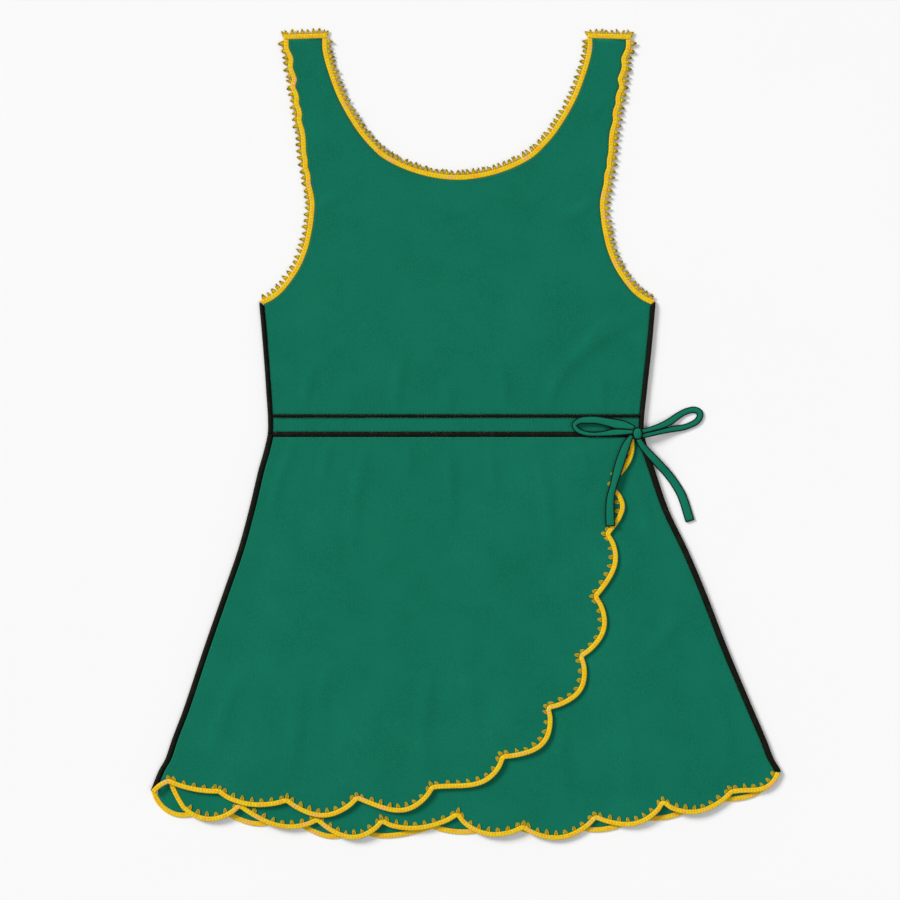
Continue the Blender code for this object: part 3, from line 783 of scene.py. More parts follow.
def picot_braid(name, node, edge, coarse, side, bed, relief, thick, seed, both_faces=True,
                first_picot=0, shape=EDGE_PICOTS, corner_picots=(), peaks=(), underarm=None):
    """Gold braid along an edge of the cloth, with picots beyond its far side.

    The side is 1 for a braid outside the edge, and -1 for one that lies on the cloth.
    The coarse edge gives the places of the picots, from the stretch that first_picot
    counts to, and one more stands at each of its peaks. Each corner picot is a base and
    the way that it points. The underarm end is cut at the slope of the piping's head.
    """
    chance = random.Random(seed)
    line = softened(spaced(edge, BRAID_STEP))
    offset = SEAM_GAP if side > 0 else 0.0
    rows = [np.array(outward(line, side * (offset + BRAID_WIDTH * across)))
            for across, _ in BRAID_SECTION]
    if underarm is not None:
        beside = line[1 if underarm == 0 else -2]
        way = (Vector(line[underarm]) - Vector(beside)).normalized()
        from_end = np.arange(len(line)) * BRAID_STEP
        from_end = from_end if underarm == 0 else from_end[::-1]
        slide = UNDERARM_MITRE * BRAID_WIDTH * np.clip(1 - from_end / MITRE_REACH, 0.0, 1.0)
        rows = [row + np.outer(slide * across, (way.x, way.y))
                for (across, _), row in zip(BRAID_SECTION, rows)]
    along = PATTERN_APART * seed + np.arange(len(line)) * BRAID_STEP
    plait = along * 2 * math.pi / PLAIT
    over, under = [], []
    for (across, height), row in zip(BRAID_SECTION, rows):
        chevron = 2 * math.pi * CHEVRON * abs(across - 0.5)
        share = height + PLAIT_RELIEF * math.sin(math.pi * across) * np.cos(plait + chevron)
        top = thick / 2 + share * thick / 2 if both_faces else share * thick
        low = thick / 2 - share * thick / 2 if both_faces else 0.0 * share
        ground = bed + relief(row[:, 0], row[:, 1])
        places = (row[:, 0], row[:, 1])
        across_uv = 0.0 * along + across * BRAID_WIDTH
        over.append(np.stack([*places, ground + top, along, across_uv], 1))
        if 0.0 < across < 1.0 and (both_faces or across == 0.50):
            under.append(np.stack([*places, ground + low, along, across_uv], 1))
    rings = np.stack(over + under[::-1], 1)
    faces = tube_faces(*rings.shape[:2])
    flat_rings = rings.reshape(-1, 5)
    points = flat_rings[:, :3].tolist()
    uv = flat_rings[:, 3:].tolist()
    shade = [0.0] * len(points)
    reach = offset + BRAID_WIDTH
    feet = outward(coarse, side * reach)
    tips = outward(coarse, side * (reach + PICOT_HEIGHT))
    bases, rises = [], []
    for k in range(len(coarse) - 1):
        bases.append((Vector(feet[k]) + Vector(feet[k + 1])) / 2)
        rises.append((Vector(tips[k]) + Vector(tips[k + 1])) / 2 - bases[k])
    places = []
    for k in range(first_picot, len(coarse) - 1):
        near = rises[max(0, k - shape["even"]):k + shape["even"] + 1]
        way_up = sum(near, Vector((0.0, 0.0))).normalized()
        places.append((bases[k], way_up * rises[k].length,
                       shape["width"] * math.dist(feet[k], feet[k + 1])))
    for k in peaks:
        way_up = (rises[k - 1] + rises[k]).normalized()
        places.append((Vector(feet[k]), way_up * PICOT_HEIGHT,
                       shape["width"] * math.dist(coarse[k], coarse[k + 1])))
    for base, way_out in corner_picots:
        places.append((Vector(base), Vector(way_out).normalized() * PICOT_HEIGHT,
                       shape["width"] * NECK_PICOT_PITCH))
    for number, (base, rise, width) in enumerate(places):
        out = rise.normalized()
        lean = chance.uniform(-shape["lean"], shape["lean"])
        lean -= shape["drift"] * max(0.0, -2 * out.x * out.y)
        found, walls, places_on_thread, tints = picot(
            base, out, Vector((out.y, -out.x)), rise.length * chance.uniform(*shape["height"]),
            width * chance.uniform(*PICOT_WIDTHS), chance.uniform(*shape["pinch"]), lean,
            bed + thick / 2 + float(relief(base.x, base.y)),
            shape["tip"] * chance.uniform(*PICOT_TINTS), shape["middle"])
        first = len(points)
        points += found
        faces += [tuple(first + index for index in wall) for wall in walls]
        shade += tints
        uv += [(along[0] + PATTERN_APART * number + a, BRAID_WIDTH + r)
               for a, r in places_on_thread]
    return add_piece(name, points, faces, gold_braid, node, uv, shade)


# Green sewing thread, in short raised stitches
STITCH_PITCH = 3.2
STITCH_LENGTH = 2.3
STITCH_RADIUS = 0.26
STITCH_SIDES = 5
STITCH_RINGS = [
    # share of the length, swell
    (0.0, 0.35),
    (0.25, 1.0),
    (0.75, 1.0),
    (1.0, 0.35),
]
SEAM_STITCH_IN = 1.7
ZIGZAG_NEAR = 1.0
ZIGZAG_FAR = 3.4
ZIGZAG_STEP = 2.1
THREAD_GREEN = (0.0075, 0.185, 0.112)


def sewing_thread(name, colour, shine):
    """Smooth sewing thread whose two twisted plies are shown as diagonal bands of painted shade.
    """
    material, tree, shader = fresh_material(name, 0.5)
    shader.inputs["Specular IOR Level"].default_value = shine
    place = add_node(tree, "TexCoord").outputs["Object"]
    plies = add_node(tree, "TexWave", {"Vector": place, "Scale": 700.0, "Distortion": 0.4},
                     bands_direction="DIAGONAL")
    # Painted shade: darker diagonal bands between the twisted plies, with no relief under them.
    ply_shade_colour = tuple(0.72 * value for value in colour)
    paint(tree, shader, ply_shade_colour, (plies.outputs["Fac"], colour))
    return material


green_thread = sewing_thread("green_sewing_thread", THREAD_GREEN, 0.3)


def add_stitch(points, faces, start, stop, height_of):
    """Add one raised stitch between two places to lists of points and faces."""
    run = Vector(stop) - Vector(start)
    way = run.normalized()
    first = len(points)
    for share, swell in STITCH_RINGS:
        spot = Vector(start) + run * share
        radius = STITCH_RADIUS * swell
        middle = float(height_of(spot.x, spot.y)) + radius - 0.75 * STITCH_RADIUS
        for side in range(STITCH_SIDES):
            angle = 2 * math.pi * side / STITCH_SIDES
            out = radius * math.cos(angle)
            points.append((spot.x + way.y * out, spot.y - way.x * out,
                           middle + radius * math.sin(angle)))
    faces += tube_faces(len(STITCH_RINGS), STITCH_SIDES, first)


def straight_stitches(points, faces, line, height_of):
    """Add a row of running stitches along a line."""
    marks = spaced(line, STITCH_PITCH)
    for here, there in zip(marks, marks[1:]):
        run = Vector(there) - Vector(here)
        stop = Vector(here) + run * (STITCH_LENGTH / STITCH_PITCH)
        add_stitch(points, faces, here, stop, height_of)


def zigzag_stitches(points, faces, edge, height_of):
    """Add a zigzag just inside an edge that the braid is sewn to."""
    near = outward(spaced(edge, ZIGZAG_STEP), -ZIGZAG_NEAR)
    far = outward(spaced(edge, ZIGZAG_STEP), -ZIGZAG_FAR)
    marks = [near[k] if k % 2 == 0 else far[k] for k in range(len(near))]
    for here, there in zip(marks, marks[1:]):
        add_stitch(points, faces, here, there, height_of)


def finish_sheet(node, edges, seams, face):
    """Stitch a panel along its braided edges and its seams."""
    points, faces = [], []
    for edge in edges:
        zigzag_stitches(points, faces, edge, face)
    for line in seams:
        straight_stitches(points, faces, line, face)
    stitches = add_piece(node + "_stitches", points, faces, green_thread)


def front_face(x, y):
    """Height of the outer face of the front cloth."""
    return FRONT_BED + CLOTH + front_relief(x, y)


def back_face(x, y):
    """Height of the outer face of the back cloth, which lies on the table."""
    return back_hollows(x, y) + 0.1


waist = UPPER_WAIST_LINE + UPPER_WAIST_PIPING / 2 + SEAM_GAP
neck_marks = spaced(spline(NECKLINE + mirrored(NECKLINE)[1:], 10), NECK_PICOT_PITCH)
neck_edge = spline(neck_marks, 6)
right_armhole_marks = spaced(spline(ARMHOLE[::-1], 10), ARMHOLE_PICOT_PITCH)
left_armhole_marks = mirrored(right_armhole_marks)
right_armhole_edge = spaced(spline(ARMHOLE[::-1], 10), ARMHOLE_EDGE_STEP)
left_armhole_edge = mirrored(right_armhole_edge)
bodice_left = panel_side(-1, SIDE_PIPING_HEAD, waist, BODICE_PIPING)
bodice_right = panel_side(1, SIDE_PIPING_HEAD, waist, BODICE_PIPING)
bodice_armhole = [point for point in spaced(right_armhole_edge, OUTLINE_STEP)
                  if point[0] < bodice_right[0][0]]
bodice_foot = spaced([bodice_left[-1], bodice_right[-1]], OUTLINE_STEP)[1:-1]
bodice_outline = (bodice_right[::-1] + bodice_armhole + spaced(neck_edge, OUTLINE_STEP)
                  + mirrored(bodice_armhole) + bodice_left + bodice_foot)
bodice_seams = [outward(bodice_right, SEAM_STITCH_IN), outward(bodice_left, -SEAM_STITCH_IN),
                [(x, waist + SEAM_STITCH_IN) for x, _ in bodice_foot]]

EDGE_BRAIDS = [
    # stem, node, edge, marks, underarm end
    ("neck", "neck_trim", neck_edge, neck_marks, None),
    ("armhole_right", "armhole_trim_right", right_armhole_edge, right_armhole_marks, 0),
    ("armhole_left", "armhole_trim_left", left_armhole_edge, left_armhole_marks, -1),
]
bodice_zigzags = [[p for p in row[2] if abs(p[0]) < bodice_right[0][0] - ZIGZAG_FAR]
                  for row in EDGE_BRAIDS]

bodice_sides = [
    # word, bed, relief, hollows, pitch, braid_bed, braid_thick, face, lies_on
    ("back", 0.0, level, back_hollows, BACK_PITCH, BACK_BRAID_BED, BACK_BRAID_THICK,
     back_face, "table_top"),
    ("front", FRONT_BED, front_relief, level, FRONT_PITCH, FRONT_BED, EDGE_BRAID_THICK,
     front_face, "bodice_back_cloth"),
]
for word, bed, relief, hollows, pitch, braid_bed, braid_thick, face, lies_on in bodice_sides:
    cloth = knit_panel("bodice_" + word, bodice_outline, bed, relief, pitch, hollows)
    for number, (stem, node, edge, marks, underarm) in enumerate(EDGE_BRAIDS):
        picot_braid(
            stem + "_braid_" + word, node + "_" + word, edge, marks, 1, braid_bed, relief,
            braid_thick, seed=10 * number + len(word), underarm=underarm)
    finish_sheet("bodice_" + word, bodice_zigzags, bodice_seams,
                 face)

CORNER_IN = 0.8
SHOULDER_SEED = 70
for word, hand in (("left", -1), ("right", 1)):
    inner = NECKLINE[0][0] - BRAID_WIDTH
    outer = ARMHOLE[0][0] + SEAM_GAP + BRAID_WIDTH
    ends = [(outer, ARMHOLE[0][1]), (inner, NECKLINE[0][1])]
    ends = ends if hand > 0 else mirrored(ends)
    marks = spaced(ends, NECK_PICOT_PITCH)
    above = SEAM_GAP + BRAID_WIDTH - CORNER_IN
    corners = [((hand * (outer - CORNER_IN), ARMHOLE[0][1] + above), (hand, 1.0)),
               ((hand * (inner + CORNER_IN), NECKLINE[0][1] + above), (-hand, 1.0))]
    picot_braid("shoulder_braid_" + word, "shoulder_trim_" + word, ends, marks, 1,
                BACK_BRAID_BED, level, FRONT_BED + EDGE_BRAID_THICK - BACK_BRAID_BED,
                seed=SHOULDER_SEED + hand, corner_picots=corners)


# Waistband
# A narrow straight band of the same jersey, cut double and laid front on back, joins the
# bodice to the skirt between two rows of black piping.
band_top = UPPER_WAIST_LINE - UPPER_WAIST_PIPING / 2 - SEAM_GAP
band_foot = LOWER_WAIST_PIPING / 2 + SEAM_GAP
band_left = panel_side(-1, band_top, band_foot, BODICE_PIPING)
band_right = panel_side(1, band_top, band_foot, BODICE_PIPING)
band_low_edge = spaced([band_left[-1], band_right[-1]], OUTLINE_STEP)[1:-1]
band_top_edge = spaced([band_right[0], band_left[0]], OUTLINE_STEP)[1:-1]
band_outline = band_left + band_low_edge + band_right[::-1] + band_top_edge
band_seams = [[(x, y + SEAM_STITCH_IN) for x, y in band_low_edge],
              [(x, y - SEAM_STITCH_IN) for x, y in band_top_edge]]
waistbands = [
    # node, bed, relief, hollows, face, lies_on
    ("waistband_back", 0.0, level, back_hollows, back_face, "table_top"),
    ("waistband_front", FRONT_BED, front_relief, level, front_face, "waistband_back_cloth"),
]
for node, bed, relief, hollows, face, lies_on in waistbands:
    cloth = knit_panel(node, band_outline, bed, relief, FRONT_PITCH, hollows)
    finish_sheet(node, [], band_seams, face)


# Skirt
# Three flared panels of jersey: a back, an underlap on top of it, and an overlap that
# wraps across to the right side seam. Their hems are cut in uneven scallops. The two front
# ones have the gold braid on top, with its picots over the cloth, and the back has it beyond.
LAYER_GAP = 0.5
OVERLAP_BED = FRONT_BED + CLOTH + LAYER_GAP
HEM_PICOT_PITCH = 10.4
BACK_HEM_STEP = 9.0
SCALLOP_FULLNESS = 0.85
SCALLOP_STEPS = 40
HEM_BRAID_THICK = 1.4
HEM_BRAID_SINK = 0.05
BACK_HEM_BRAID_THICK = 1.2
LEFT_PIPING_FOOT = -372.6
RIGHT_PIPING_FOOT = -353.0
CLIMB = 1.3
CLIMB_FROM = -270.0
CLIMB_TO = -350.0

# Each row is the inward point where a scallop starts, how far the scallop swells out,
# and where along it the swelling is deepest, along the middle of the braid.
OVERLAP_SCALLOPS = [
    # x, y, swell, deepest
    (-319, -374.5, -1.5, 0.50),
    (-303, -363.5, 3, 0.50),
    (-250, -374, 8.9, 0.47),
    (-179, -383.5, 17, 0.52),
    (-105, -381, 19.2, 0.58),
    (-26, -370, 15.2, 0.62),
    (48, -338, 20.5, 0.55),
    (96, -287, 17.6, 0.53),
    (130.1, -232.6, 16, 0.52),
    (145.2, -169.8, 13.2, 0.57),
    (157.8, -104.5, 12.4, 0.60),
    (163, -57, 0.5, 0.50),
    (164.5, -47, 6.3, 0.56),
]
OVERLAP_END = (182.8, -5.0)
UNDERLAP_SCALLOPS = [
    (-300.9, -365.4, 0.8, 0.50),
    (-287.4, -391.5, 13, 0.48),
    (-228.5, -389.7, 13, 0.56),
    (-147, -404.5, 17.2, 0.54),
    (-79, -406, 10.2, 0.47),
    (0, -399, 13.8, 0.48),
    (69, -412, 16, 0.50),
    (145, -402, 15.2, 0.54),
    (216, -386, 15, 0.47),
    (288, -375, 9.8, 0.64),
]
UNDERLAP_END = (336.8, -354.6)
BACK_SCALLOPS = [
    (-319.3, -374, 18.4, 0.45),
    (-258, -390, 12.2, 0.59),
    (-181, -401, 16.2, 0.60),
    (-101, -409.2, 11.6, 0.30),
    (-26, -411.8, 8.8, 0.50),
    (50, -405, 12, 0.50),
    (121, -407, 10.2, 0.40),
    (190, -402, 7.6, 0.48),
    (259, -384, 12, 0.58),
]
BACK_END = (336.5, -356.2)


def scalloped_edge(rows, end, pitch):
    """Marks along the edge of a row of scallops, the smooth edge, and the peaks' places."""
    found = []
    starts = []
    corners = [row[:2] for row in rows] + [end]
    for row, start, stop in zip(rows, corners, corners[1:]):
        chord = Vector(stop) - Vector(start)
        out = Vector((chord.y, -chord.x)).normalized()
        skew = math.log(0.5) / math.log(row[3])
        fine = []
        for step in range(SCALLOP_STEPS + 1):
            t = step / SCALLOP_STEPS
            swell = row[2] * max(0.0, math.sin(math.pi * t ** skew)) ** SCALLOP_FULLNESS
            spot = Vector(start) + chord * t + out * swell
            fine.append((spot.x, spot.y))
        starts.append(len(found))
        found.extend(spaced(fine, pitch)[:-1])
    starts.append(len(found))
    found.append(end)
    marks = outward(found, BRAID_WIDTH / 2)
    edge = []
    for start, stop in zip(starts, starts[1:]):
        edge.extend(spline(marks[start:stop + 1], 8)[:-1])
    edge.append(marks[-1])
    return marks, edge, starts[1:-1]


def overlap_relief(x, y):
    """The relief of the overlap, which climbs over the underlap's braid near the hem."""
    share = np.clip((np.asarray(y, float) - CLIMB_FROM) / (CLIMB_TO - CLIMB_FROM), 0.0, 1.0)
    return front_relief(x, y) + CLIMB * share * share * (3 - 2 * share)


def overlap_face(x, y):
    """Height of the outer face of the overlap."""
    return OVERLAP_BED + CLOTH + overlap_relief(x, y)


skirt_top = -LOWER_WAIST_PIPING / 2 - SEAM_GAP
overlap_marks, overlap_edge, overlap_peaks = scalloped_edge(
    OVERLAP_SCALLOPS, OVERLAP_END, HEM_PICOT_PITCH)
underlap_marks, underlap_edge, underlap_peaks = scalloped_edge(
    UNDERLAP_SCALLOPS, UNDERLAP_END, HEM_PICOT_PITCH)
back_marks, back_edge, _ = scalloped_edge(BACK_SCALLOPS, BACK_END, BACK_HEM_STEP)

overlap_left = panel_side(-1, skirt_top, OVERLAP_SCALLOPS[0][1] + 3, SKIRT_PIPING)
overlap_top = spaced([(overlap_edge[-1][0], skirt_top), overlap_left[0]], OUTLINE_STEP)[:-1]
overlap_outline = spaced(overlap_edge, OUTLINE_STEP) + overlap_top + overlap_left

underlap_left = panel_side(-1, skirt_top, UNDERLAP_SCALLOPS[0][1] + 3, SKIRT_PIPING)
underlap_right = panel_side(1, skirt_top, RIGHT_PIPING_FOOT - SEAM_GAP, SKIRT_PIPING)
underlap_top = spaced([underlap_right[0], underlap_left[0]], OUTLINE_STEP)[1:-1]
underlap_outline = (spaced(underlap_edge, OUTLINE_STEP) + underlap_right[::-1]
                    + underlap_top + underlap_left)

back_left = panel_side(-1, skirt_top, LEFT_PIPING_FOOT, SKIRT_PIPING)
back_right = panel_side(1, skirt_top, RIGHT_PIPING_FOOT, SKIRT_PIPING)
back_top = spaced([back_right[0], back_left[0]], OUTLINE_STEP)[1:-1]
back_foot = [
    point for point in outward(spaced(back_edge, OUTLINE_STEP), -BRAID_WIDTH - SEAM_GAP)
    if back_left[-1][0] < point[0] < back_right[-1][0]
]
back_outline = back_foot + back_right[::-1] + back_top + back_left

CORNER_WITHOUT_PICOTS = 2
UNDERLAP_WITHOUT_PICOTS = 3
skirt_panels = [
    # node, outline, pitch, bed, relief, hollows, face, lies_on, seams
    ("skirt_back", back_outline, BACK_PITCH, 0.0, level, back_hollows, back_face, "table_top",
     [outward(back_left, -SEAM_STITCH_IN), outward(back_right, SEAM_STITCH_IN),
      outward(back_top, -SEAM_STITCH_IN), outward(back_foot, -SEAM_STITCH_IN)]),
    ("skirt_underlap", underlap_outline, FRONT_PITCH, FRONT_BED, front_relief, level,
     front_face, "skirt_back_cloth", [outward(underlap_right, SEAM_STITCH_IN)]),
    ("skirt_overlap", overlap_outline, FRONT_PITCH, OVERLAP_BED, overlap_relief, level,
     overlap_face, "skirt_underlap_cloth",
     [outward(overlap_left, -SEAM_STITCH_IN), outward(overlap_top, -SEAM_STITCH_IN)]),
]
hem_braids = [
    # name, node, edge, marks, bed, thick, on top, first picot, peaks
    ("back_hem_braid", "back_hem_trim", back_edge, back_marks, BACK_BRAID_BED,
     BACK_HEM_BRAID_THICK, False, len(back_marks), ()),
    ("underlap_braid", "underlap_trim", underlap_edge, underlap_marks,
     FRONT_BED + CLOTH - HEM_BRAID_SINK, HEM_BRAID_THICK, True, UNDERLAP_WITHOUT_PICOTS,
     underlap_peaks[1:]),
    ("overlap_braid", "overlap_trim", overlap_edge, overlap_marks,
     OVERLAP_BED + CLOTH - HEM_BRAID_SINK, HEM_BRAID_THICK, True, CORNER_WITHOUT_PICOTS,
     overlap_peaks[:-2]),
]
for panel, hem in zip(skirt_panels, hem_braids):
    node, outline, pitch, bed, relief, hollows, face, lies_on, seams = panel
    name, braid_node, edge, marks, braid_bed, thick, on_top, first_picot, peaks = hem
    cloth = knit_panel(node, outline, bed, relief, pitch, hollows)
    braid = picot_braid(name, braid_node, edge, marks, -1, braid_bed, relief, thick,
                        seed=len(name), both_faces=not on_top, first_picot=first_picot,
                        shape=HEM_PICOTS, peaks=peaks)
    finish_sheet(node, [], seams, face)


# Piping
# Black piping, a cord in a bias strip of plain cotton, is caught in the side seams and
# in both waist seams. It is flat below and rounded above, and a little uneven.
SIDE_PIPING_TOP = 4.7
WAIST_PIPING_RISE = 0.5
BACK_PIPING_THICK = 1.2
PIPING_STEP = 3.0
PIPING_FOOT_OVER = 1.2
PIPING_ARC_STEPS = 10
PIPING_SHOULDER = 0.38
SIDE_PIPING_SWELL = 0.12
WAIST_PIPING_SWELL = 0.08
UNDERARM_SLOPE = 0.78
PIPING_BLACK = (0.0062, 0.0060, 0.0032)
PIPING_WORN = (0.017, 0.016, 0.011)
BIAS_THREAD = 0.6


def bias_cotton(name, colour, worn):
    """Plain weave on the bias, a little paler where it rubs."""
    material, tree, shader = fresh_material(name, 0.72)
    place = add_node(tree, "TexCoord").outputs["Object"]
    waves = []
    for turn in (math.pi / 4, -math.pi / 4):
        turned = add_node(tree, "Mapping", {"Vector": place, "Rotation": (0.0, 0.0, turn)})
        waves.append(add_node(tree, "TexWave", {
            "Vector": turned.outputs["Vector"],
            "Scale": math.pi / (10 * BIAS_THREAD * MM),
            "Distortion": 0.3,
        }).outputs["Fac"])
    emboss(tree, shader, maths(tree, "MULTIPLY", *waves), 0.4, 0.15)
    paint(tree, shader, colour, (noise(tree, place, 120.0, 3.0, 0.52, 0.75, 0.6), worn))
    shader.inputs["Specular IOR Level"].default_value = 0.08
    return material


black_piping = bias_cotton("black_piping_cotton", PIPING_BLACK, PIPING_WORN)


def piping_ring(inner, outer, low, high, along, fixed):
    """One section of piping: a flat base, and an arc over it.

    The section crosses from inner to outer. The fixed value is its place along the run,
    and along says whether that is y, as in a side seam, or x.
    """
    ring = [(inner, low), (outer, low)]
    for step in range(PIPING_ARC_STEPS + 1):
        turn = math.pi * step / PIPING_ARC_STEPS
        across = 0.5 + 0.5 * math.cos(turn)
        up = PIPING_SHOULDER + (1 - PIPING_SHOULDER) * math.sin(turn)
        ring.append((inner + (outer - inner) * across, low + (high - low) * up))
    if along == "y":
        return [(across, fixed, up) for across, up in ring]
    return [(fixed, across, up) for across, up in ring]


def piping_cord(node, rings):
    """A closed length of piping through its sections."""
    points = [point for ring in rings for point in ring]
    add_piece(node + "_cord", points, tube_faces(len(rings), len(rings[0])), black_piping,
              node)


for hand, word, foot in ((-1, "left", LEFT_PIPING_FOOT), (1, "right", RIGHT_PIPING_FOOT)):
    stretches = [("bodice", SIDE_PIPING_HEAD, SEAM_GAP / 2, BODICE_PIPING),
                 ("skirt", -SEAM_GAP / 2, foot - PIPING_FOOT_OVER, SKIRT_PIPING)]
    for stretch, top, end, width in stretches:
        count = round((top - end) / PIPING_STEP)
        rings = []
        for step in range(count + 1):
            y = top + (end - top) * step / count
            outer = side_edge(hand, y)
            swell = SIDE_PIPING_SWELL * math.sin(y / 7.0 + hand) * math.sin(y / 23.0)
            high = SIDE_PIPING_TOP * (0.985 + 0.015 * math.sin(y / 5.0 + 1.7 * hand))
            rings.append(piping_ring(outer - hand * (width - swell), outer, 0.0, high, "y", y))
        if stretch == "bodice":
            inner = abs(side_edge(hand, top)) - width
            rings.insert(0, [(x, top + (abs(x) - inner) * UNDERARM_SLOPE, 0.9 * z)
                             for x, _, z in rings[0]])
        piping_cord("side_piping_" + stretch + "_" + word, rings)

waist_seams = [
    # word, line, width, piping
    ("upper", UPPER_WAIST_LINE, UPPER_WAIST_PIPING, BODICE_PIPING),
    ("lower", 0.0, LOWER_WAIST_PIPING, SKIRT_PIPING),
]
for word, line, width, piping in waist_seams:
    left = side_edge(-1, line) + piping + SEAM_GAP
    right = side_edge(1, line) - piping - SEAM_GAP
    sides = [
        # side, low, high
        ("front", FRONT_BED, OVERLAP_BED + CLOTH + WAIST_PIPING_RISE),
        ("back", 0.0, BACK_PIPING_THICK),
    ]
    for side, low, high in sides:
        count = round((right - left) / PIPING_STEP)
        rings = []
        for step in range(count + 1):
            x = left + (right - left) * step / count
            swell = WAIST_PIPING_SWELL * math.sin(x / 6.0 + line) * math.sin(x / 19.0)
            half = width / 2 + swell
            ring = piping_ring(line - half, line + half, low, high, "x", x)
            if step in (0, count) and line == 0.0:
                out = (SKIRT_PIPING - BODICE_PIPING) * (-1 if step == 0 else 1)
                ring = [(x + out if y > 0.0 else x, y, z) for x, y, z in ring]
            rings.append(ring)
        piping_cord("waist_piping_" + word + "_" + side, rings)


# Bow
# The wrap is tied at the right side with two flat ties of the same jersey. Each is
# folded to a narrow strip, its edges bound with black thread, and they make two flat
# loops, two free ends and one small knot.
TIE_STEPS = 8
TIE_BASE = 0.3
TIE_TOP = 1.15
TIE_CROWN = 0.32
TIE_TOP_STEPS = 8
TIE_HIGHEST = 1.6
TIE_GATHER = 0.16
TIE_GATHER_FADE = 5.0
TIE_EDGE_RADIUS = 0.66
TIE_EDGE_MIDDLE = 0.86
TIE_EDGE_TWIST = 1.9
EDGE_STEP = 0.5
EDGE_SIDES = 6
EDGE_SWELL = 0.14
TIE_EDGE_IN = 0.15
TIE_END_OUT = 0.35
TIE_CLOTH_IN = 0.55
KNOT_CENTRE = (188.9, 0.9)
KNOT_SIZE = (9.0, 11.2, 4.6)
KNOT_TUCK = 2.2
TIE_GREEN = (0.0050, 0.165, 0.098)
TIE_GREEN_DEEP = (0.0042, 0.148, 0.087)
TIE_GREEN_PALE = (0.0070, 0.184, 0.112)
LEFT_LOOP = [
    # x, y, width, lift
    (183.1, 7.6, 5.2, 6.6),
    (174.1, 10, 8.4, 6.1),
    (167, 10.9, 9.5, 5.7),
    (157, 13.1, 8.3, 5.4),
    (146, 15.1, 7.6, 5.4),
    (136, 15.3, 7.4, 5.4),
    (128, 14.3, 6.2, 5.4),
    (122.6, 9.9, 4.9, 5.4),
    (126.4, 4.3, 4.8, 5.4),
    (134.5, 1.1, 4.6, 5.4),
    (143.5, 0.3, 4.1, 5.4),
    (154, 0.9, 5.1, 5.4),
    (164, 2.2, 6.8, 5.6),
    (174.1, 2.5, 5.8, 6.1),
    (183.2, 2.9, 4.3, 6.6),
]
RIGHT_LOOP = [
    (194.6, 3.5, 4.6, 6.6),
    (204.1, 5.95, 4.9, 5.6),
    (214.8, 9.5, 6.2, 4),
    (223.4, 13.7, 7, 2.3),
    (231.2, 19.2, 6.3, 0.9),
    (239.5, 23.9, 5.8, 0.3),
    (248.1, 26, 5.8, 0.3),
    (253.9, 24, 5.8, 0.3),
    (255, 19.6, 6, 0.3),
    (251.8, 14, 5.8, 0.3),
    (244.6, 9.9, 5.4, 0.4),
    (236.3, 7.2, 5.5, 0.7),
    (225.6, 5.6, 5.6, 2.1),
    (214.8, 3.3, 4.8, 4),
    (204.1, 0.75, 4.5, 5.6),
    (194.6, -1.3, 4.3, 6.6),
]
LEFT_TAIL = [
    (181.3, -3, 4.6, 6.6),
    (177.2, -10.8, 7.8, 6.4),
    (172.8, -22.1, 9, 6.4),
    (168.7, -34.9, 9.2, 6.3),
    (163.6, -53, 7.2, 6.3),
    (160.4, -67, 8, 6.3),
    (159.9, -81, 9.1, 6.3),
    (160.4, -95.3, 9.4, 6.3),
]
RIGHT_TAIL = [
    (190.8, -6.9, 6, 6.6),
    (194.4, -12.4, 6.8, 6.2),
    (200.6, -19.6, 7.4, 5.6),
    (207, -26.4, 7.9, 5.3),
    (213.4, -33.2, 8.1, 3.8),
    (220.8, -41.2, 8.1, 1.7),
    (228.6, -51.6, 8.2, 0.5),
    (236.6, -66, 8.7, 0.3),
    (244.3, -90.3, 8.9, 0.3),
]
TIES = [
    # name, rows, lies_on, far_end
    ("tie_loop_left", LEFT_LOOP, level, "object"),
    ("tie_loop_right", RIGHT_LOOP, level, "object"),
    ("tie_tail_left", LEFT_TAIL, front_folds, "bare"),
    ("tie_tail_right", RIGHT_TAIL, level, "bare"),
]
tie_jersey = jersey("green_tie_jersey", TIE_GREEN, TIE_GREEN_DEEP, TIE_GREEN_PALE)
edge_thread = sewing_thread("black_edge_thread", PIPING_BLACK, 0.08)


def bound_edge(name, paths):
    """A round of edge thread along each path, with the swells of its stitches."""
    points, faces = [], []
    for path in paths:
        marks = spaced(path, EDGE_STEP)
        first = len(points)
        for index, (x, y, z) in enumerate(marks):
            before = Vector(marks[max(index - 1, 0)])
            after = Vector(marks[min(index + 1, len(marks) - 1)])
            way = (after - before).normalized()
            aside = Vector((way.y, -way.x, 0.0)).normalized()
            up = aside.cross(way)
            twist = math.cos(math.pi * index / TIE_EDGE_TWIST)
            radius = TIE_EDGE_RADIUS * (1 + EDGE_SWELL * twist)
            for side in range(EDGE_SIDES):
                angle = 2 * math.pi * side / EDGE_SIDES
                reach = (aside * math.cos(angle) + up * math.sin(angle)) * radius
                points.append(tuple(Vector((x, y, z)) + reach))
        faces += tube_faces(len(marks), EDGE_SIDES, first)
    return add_piece(name, points, faces, edge_thread)


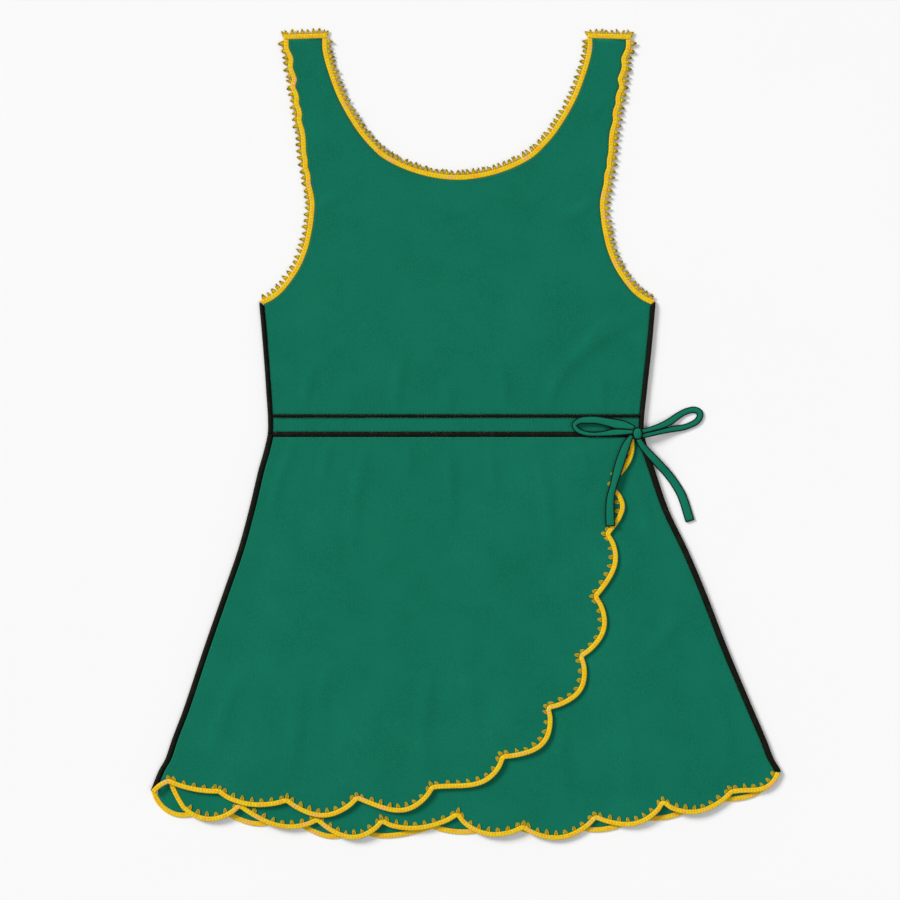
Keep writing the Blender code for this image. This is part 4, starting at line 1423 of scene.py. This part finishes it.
for name, rows, lies_on, far_end in TIES:
    line = spline(rows, TIE_STEPS)
    tucked = []
    for x, y, width, lift in (line[0], line[-1]):
        way = (Vector(KNOT_CENTRE) - Vector((x, y))).normalized()
        tucked.append((x + way.x * KNOT_TUCK, y + way.y * KNOT_TUCK, width, lift))
    line.insert(0, tucked[0])
    if far_end == "object":
        line.append(tucked[1])
    rings, left_side, right_side, middle = [], [], [], []
    for index, (x, y, width, lift) in enumerate(line):
        before = Vector(line[max(index - 1, 0)][:2])
        after = Vector(line[min(index + 1, len(line) - 1)][:2])
        way = (after - before).normalized()
        half = width / 2 - TIE_CLOTH_IN
        bed = lift + float(lies_on(x, y))
        from_end = min(index, len(line) - 1 - index)
        gather = TIE_GATHER * math.exp(-from_end / TIE_GATHER_FADE)
        section = [(-half, TIE_BASE), (half, TIE_BASE)]
        for step in range(TIE_TOP_STEPS + 1):
            share = 1 - 2 * step / TIE_TOP_STEPS
            rise = TIE_TOP + TIE_CROWN * (1 - share * share)
            rise += gather * math.cos(2.5 * math.pi * share)
            section.append((half * share, min(rise, TIE_HIGHEST)))
        rings.append([(x + way.y * across, y - way.x * across, bed + up)
                      for across, up in section])
        for hand, found in ((-1, left_side), (1, right_side)):
            across = hand * (width / 2 - TIE_EDGE_IN)
            found.append((x + way.y * across, y - way.x * across, bed + TIE_EDGE_MIDDLE))
        middle.append((x, y, bed + TIE_EDGE_MIDDLE))
    if far_end == "bare":
        for found in (left_side, right_side):
            x, y, z = found[-1]
            found.append((x + way.x * TIE_END_OUT, y + way.y * TIE_END_OUT, z))
    strip = add_piece(name + "_cloth", [point for ring in rings for point in ring],
                      tube_faces(len(rings), len(rings[0])), tie_jersey, name)
    edges = bound_edge(name + "_edges", [left_side + right_side[::-1]] if far_end == "bare"
                       else [left_side, right_side])
    width = max(row[2] for row in rows) * MM

KNOT_BED = 5.3
KNOT_PLEAT = 0.2
KNOT_SQUARENESS = 0.15
KNOT_RIM_POWER = 2.3
KNOT_RIM_OUT = 0.25
KNOT_RIM_STEPS = 48
KNOT_RIM_HEIGHT = 0.62
KNOT_RIM_WAVE = 0.08
KNOT_PLEATS = 2.4

bpy.ops.mesh.primitive_cube_add(size=2.0)
knot = bpy.context.object
knot.name = "tie_knot_cloth"
bpy.ops.object.mode_set(mode="EDIT")
bpy.ops.mesh.subdivide(number_cuts=11)
bpy.ops.object.mode_set(mode="OBJECT")


def rounded(value, other, last):
    """One direction of a cube's point, drawn in most of the way towards a ball."""
    ball = math.sqrt(1 - other * other / 2 - last * last / 2 + other * other * last * last / 3)
    return value * (KNOT_SQUARENESS + (1 - KNOT_SQUARENESS) * ball)


knot_middle = Vector((KNOT_CENTRE[0] + CENTRE_X, KNOT_CENTRE[1] + WAIST_Y,
                      KNOT_BED + KNOT_SIZE[2] / 2))
for corner in knot.data.vertices:
    x, y, z = corner.co
    pleat = math.cos(KNOT_PLEATS * math.pi * x + 0.4) * (1 - 0.5 * y * y) - 1
    corner.co = (knot_middle + Vector((
        rounded(x, y, z) * KNOT_SIZE[0] / 2,
        rounded(y, x, z) * KNOT_SIZE[1] / 2,
        rounded(z, x, y) * KNOT_SIZE[2] / 2 + KNOT_PLEAT * pleat * max(0.0, z),
    ))) * MM
knot.data.shade_smooth()
knot.data.materials.append(tie_jersey)
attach(knot, "root")
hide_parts("tie_knot")

rim = []
for step in range(KNOT_RIM_STEPS + 1):
    turn = 2 * math.pi * step / KNOT_RIM_STEPS
    x, y = math.cos(turn), math.sin(turn)
    reach = (abs(x) ** KNOT_RIM_POWER + abs(y) ** KNOT_RIM_POWER) ** (-1 / KNOT_RIM_POWER)
    rim.append((KNOT_CENTRE[0] + x * reach * (KNOT_SIZE[0] / 2 + KNOT_RIM_OUT),
                KNOT_CENTRE[1] + y * reach * (KNOT_SIZE[1] / 2 + KNOT_RIM_OUT),
                KNOT_BED + KNOT_SIZE[2]
                * (KNOT_RIM_HEIGHT + KNOT_RIM_WAVE * math.cos(2 * turn))))
bound_edge("tie_knot_edge", [rim])
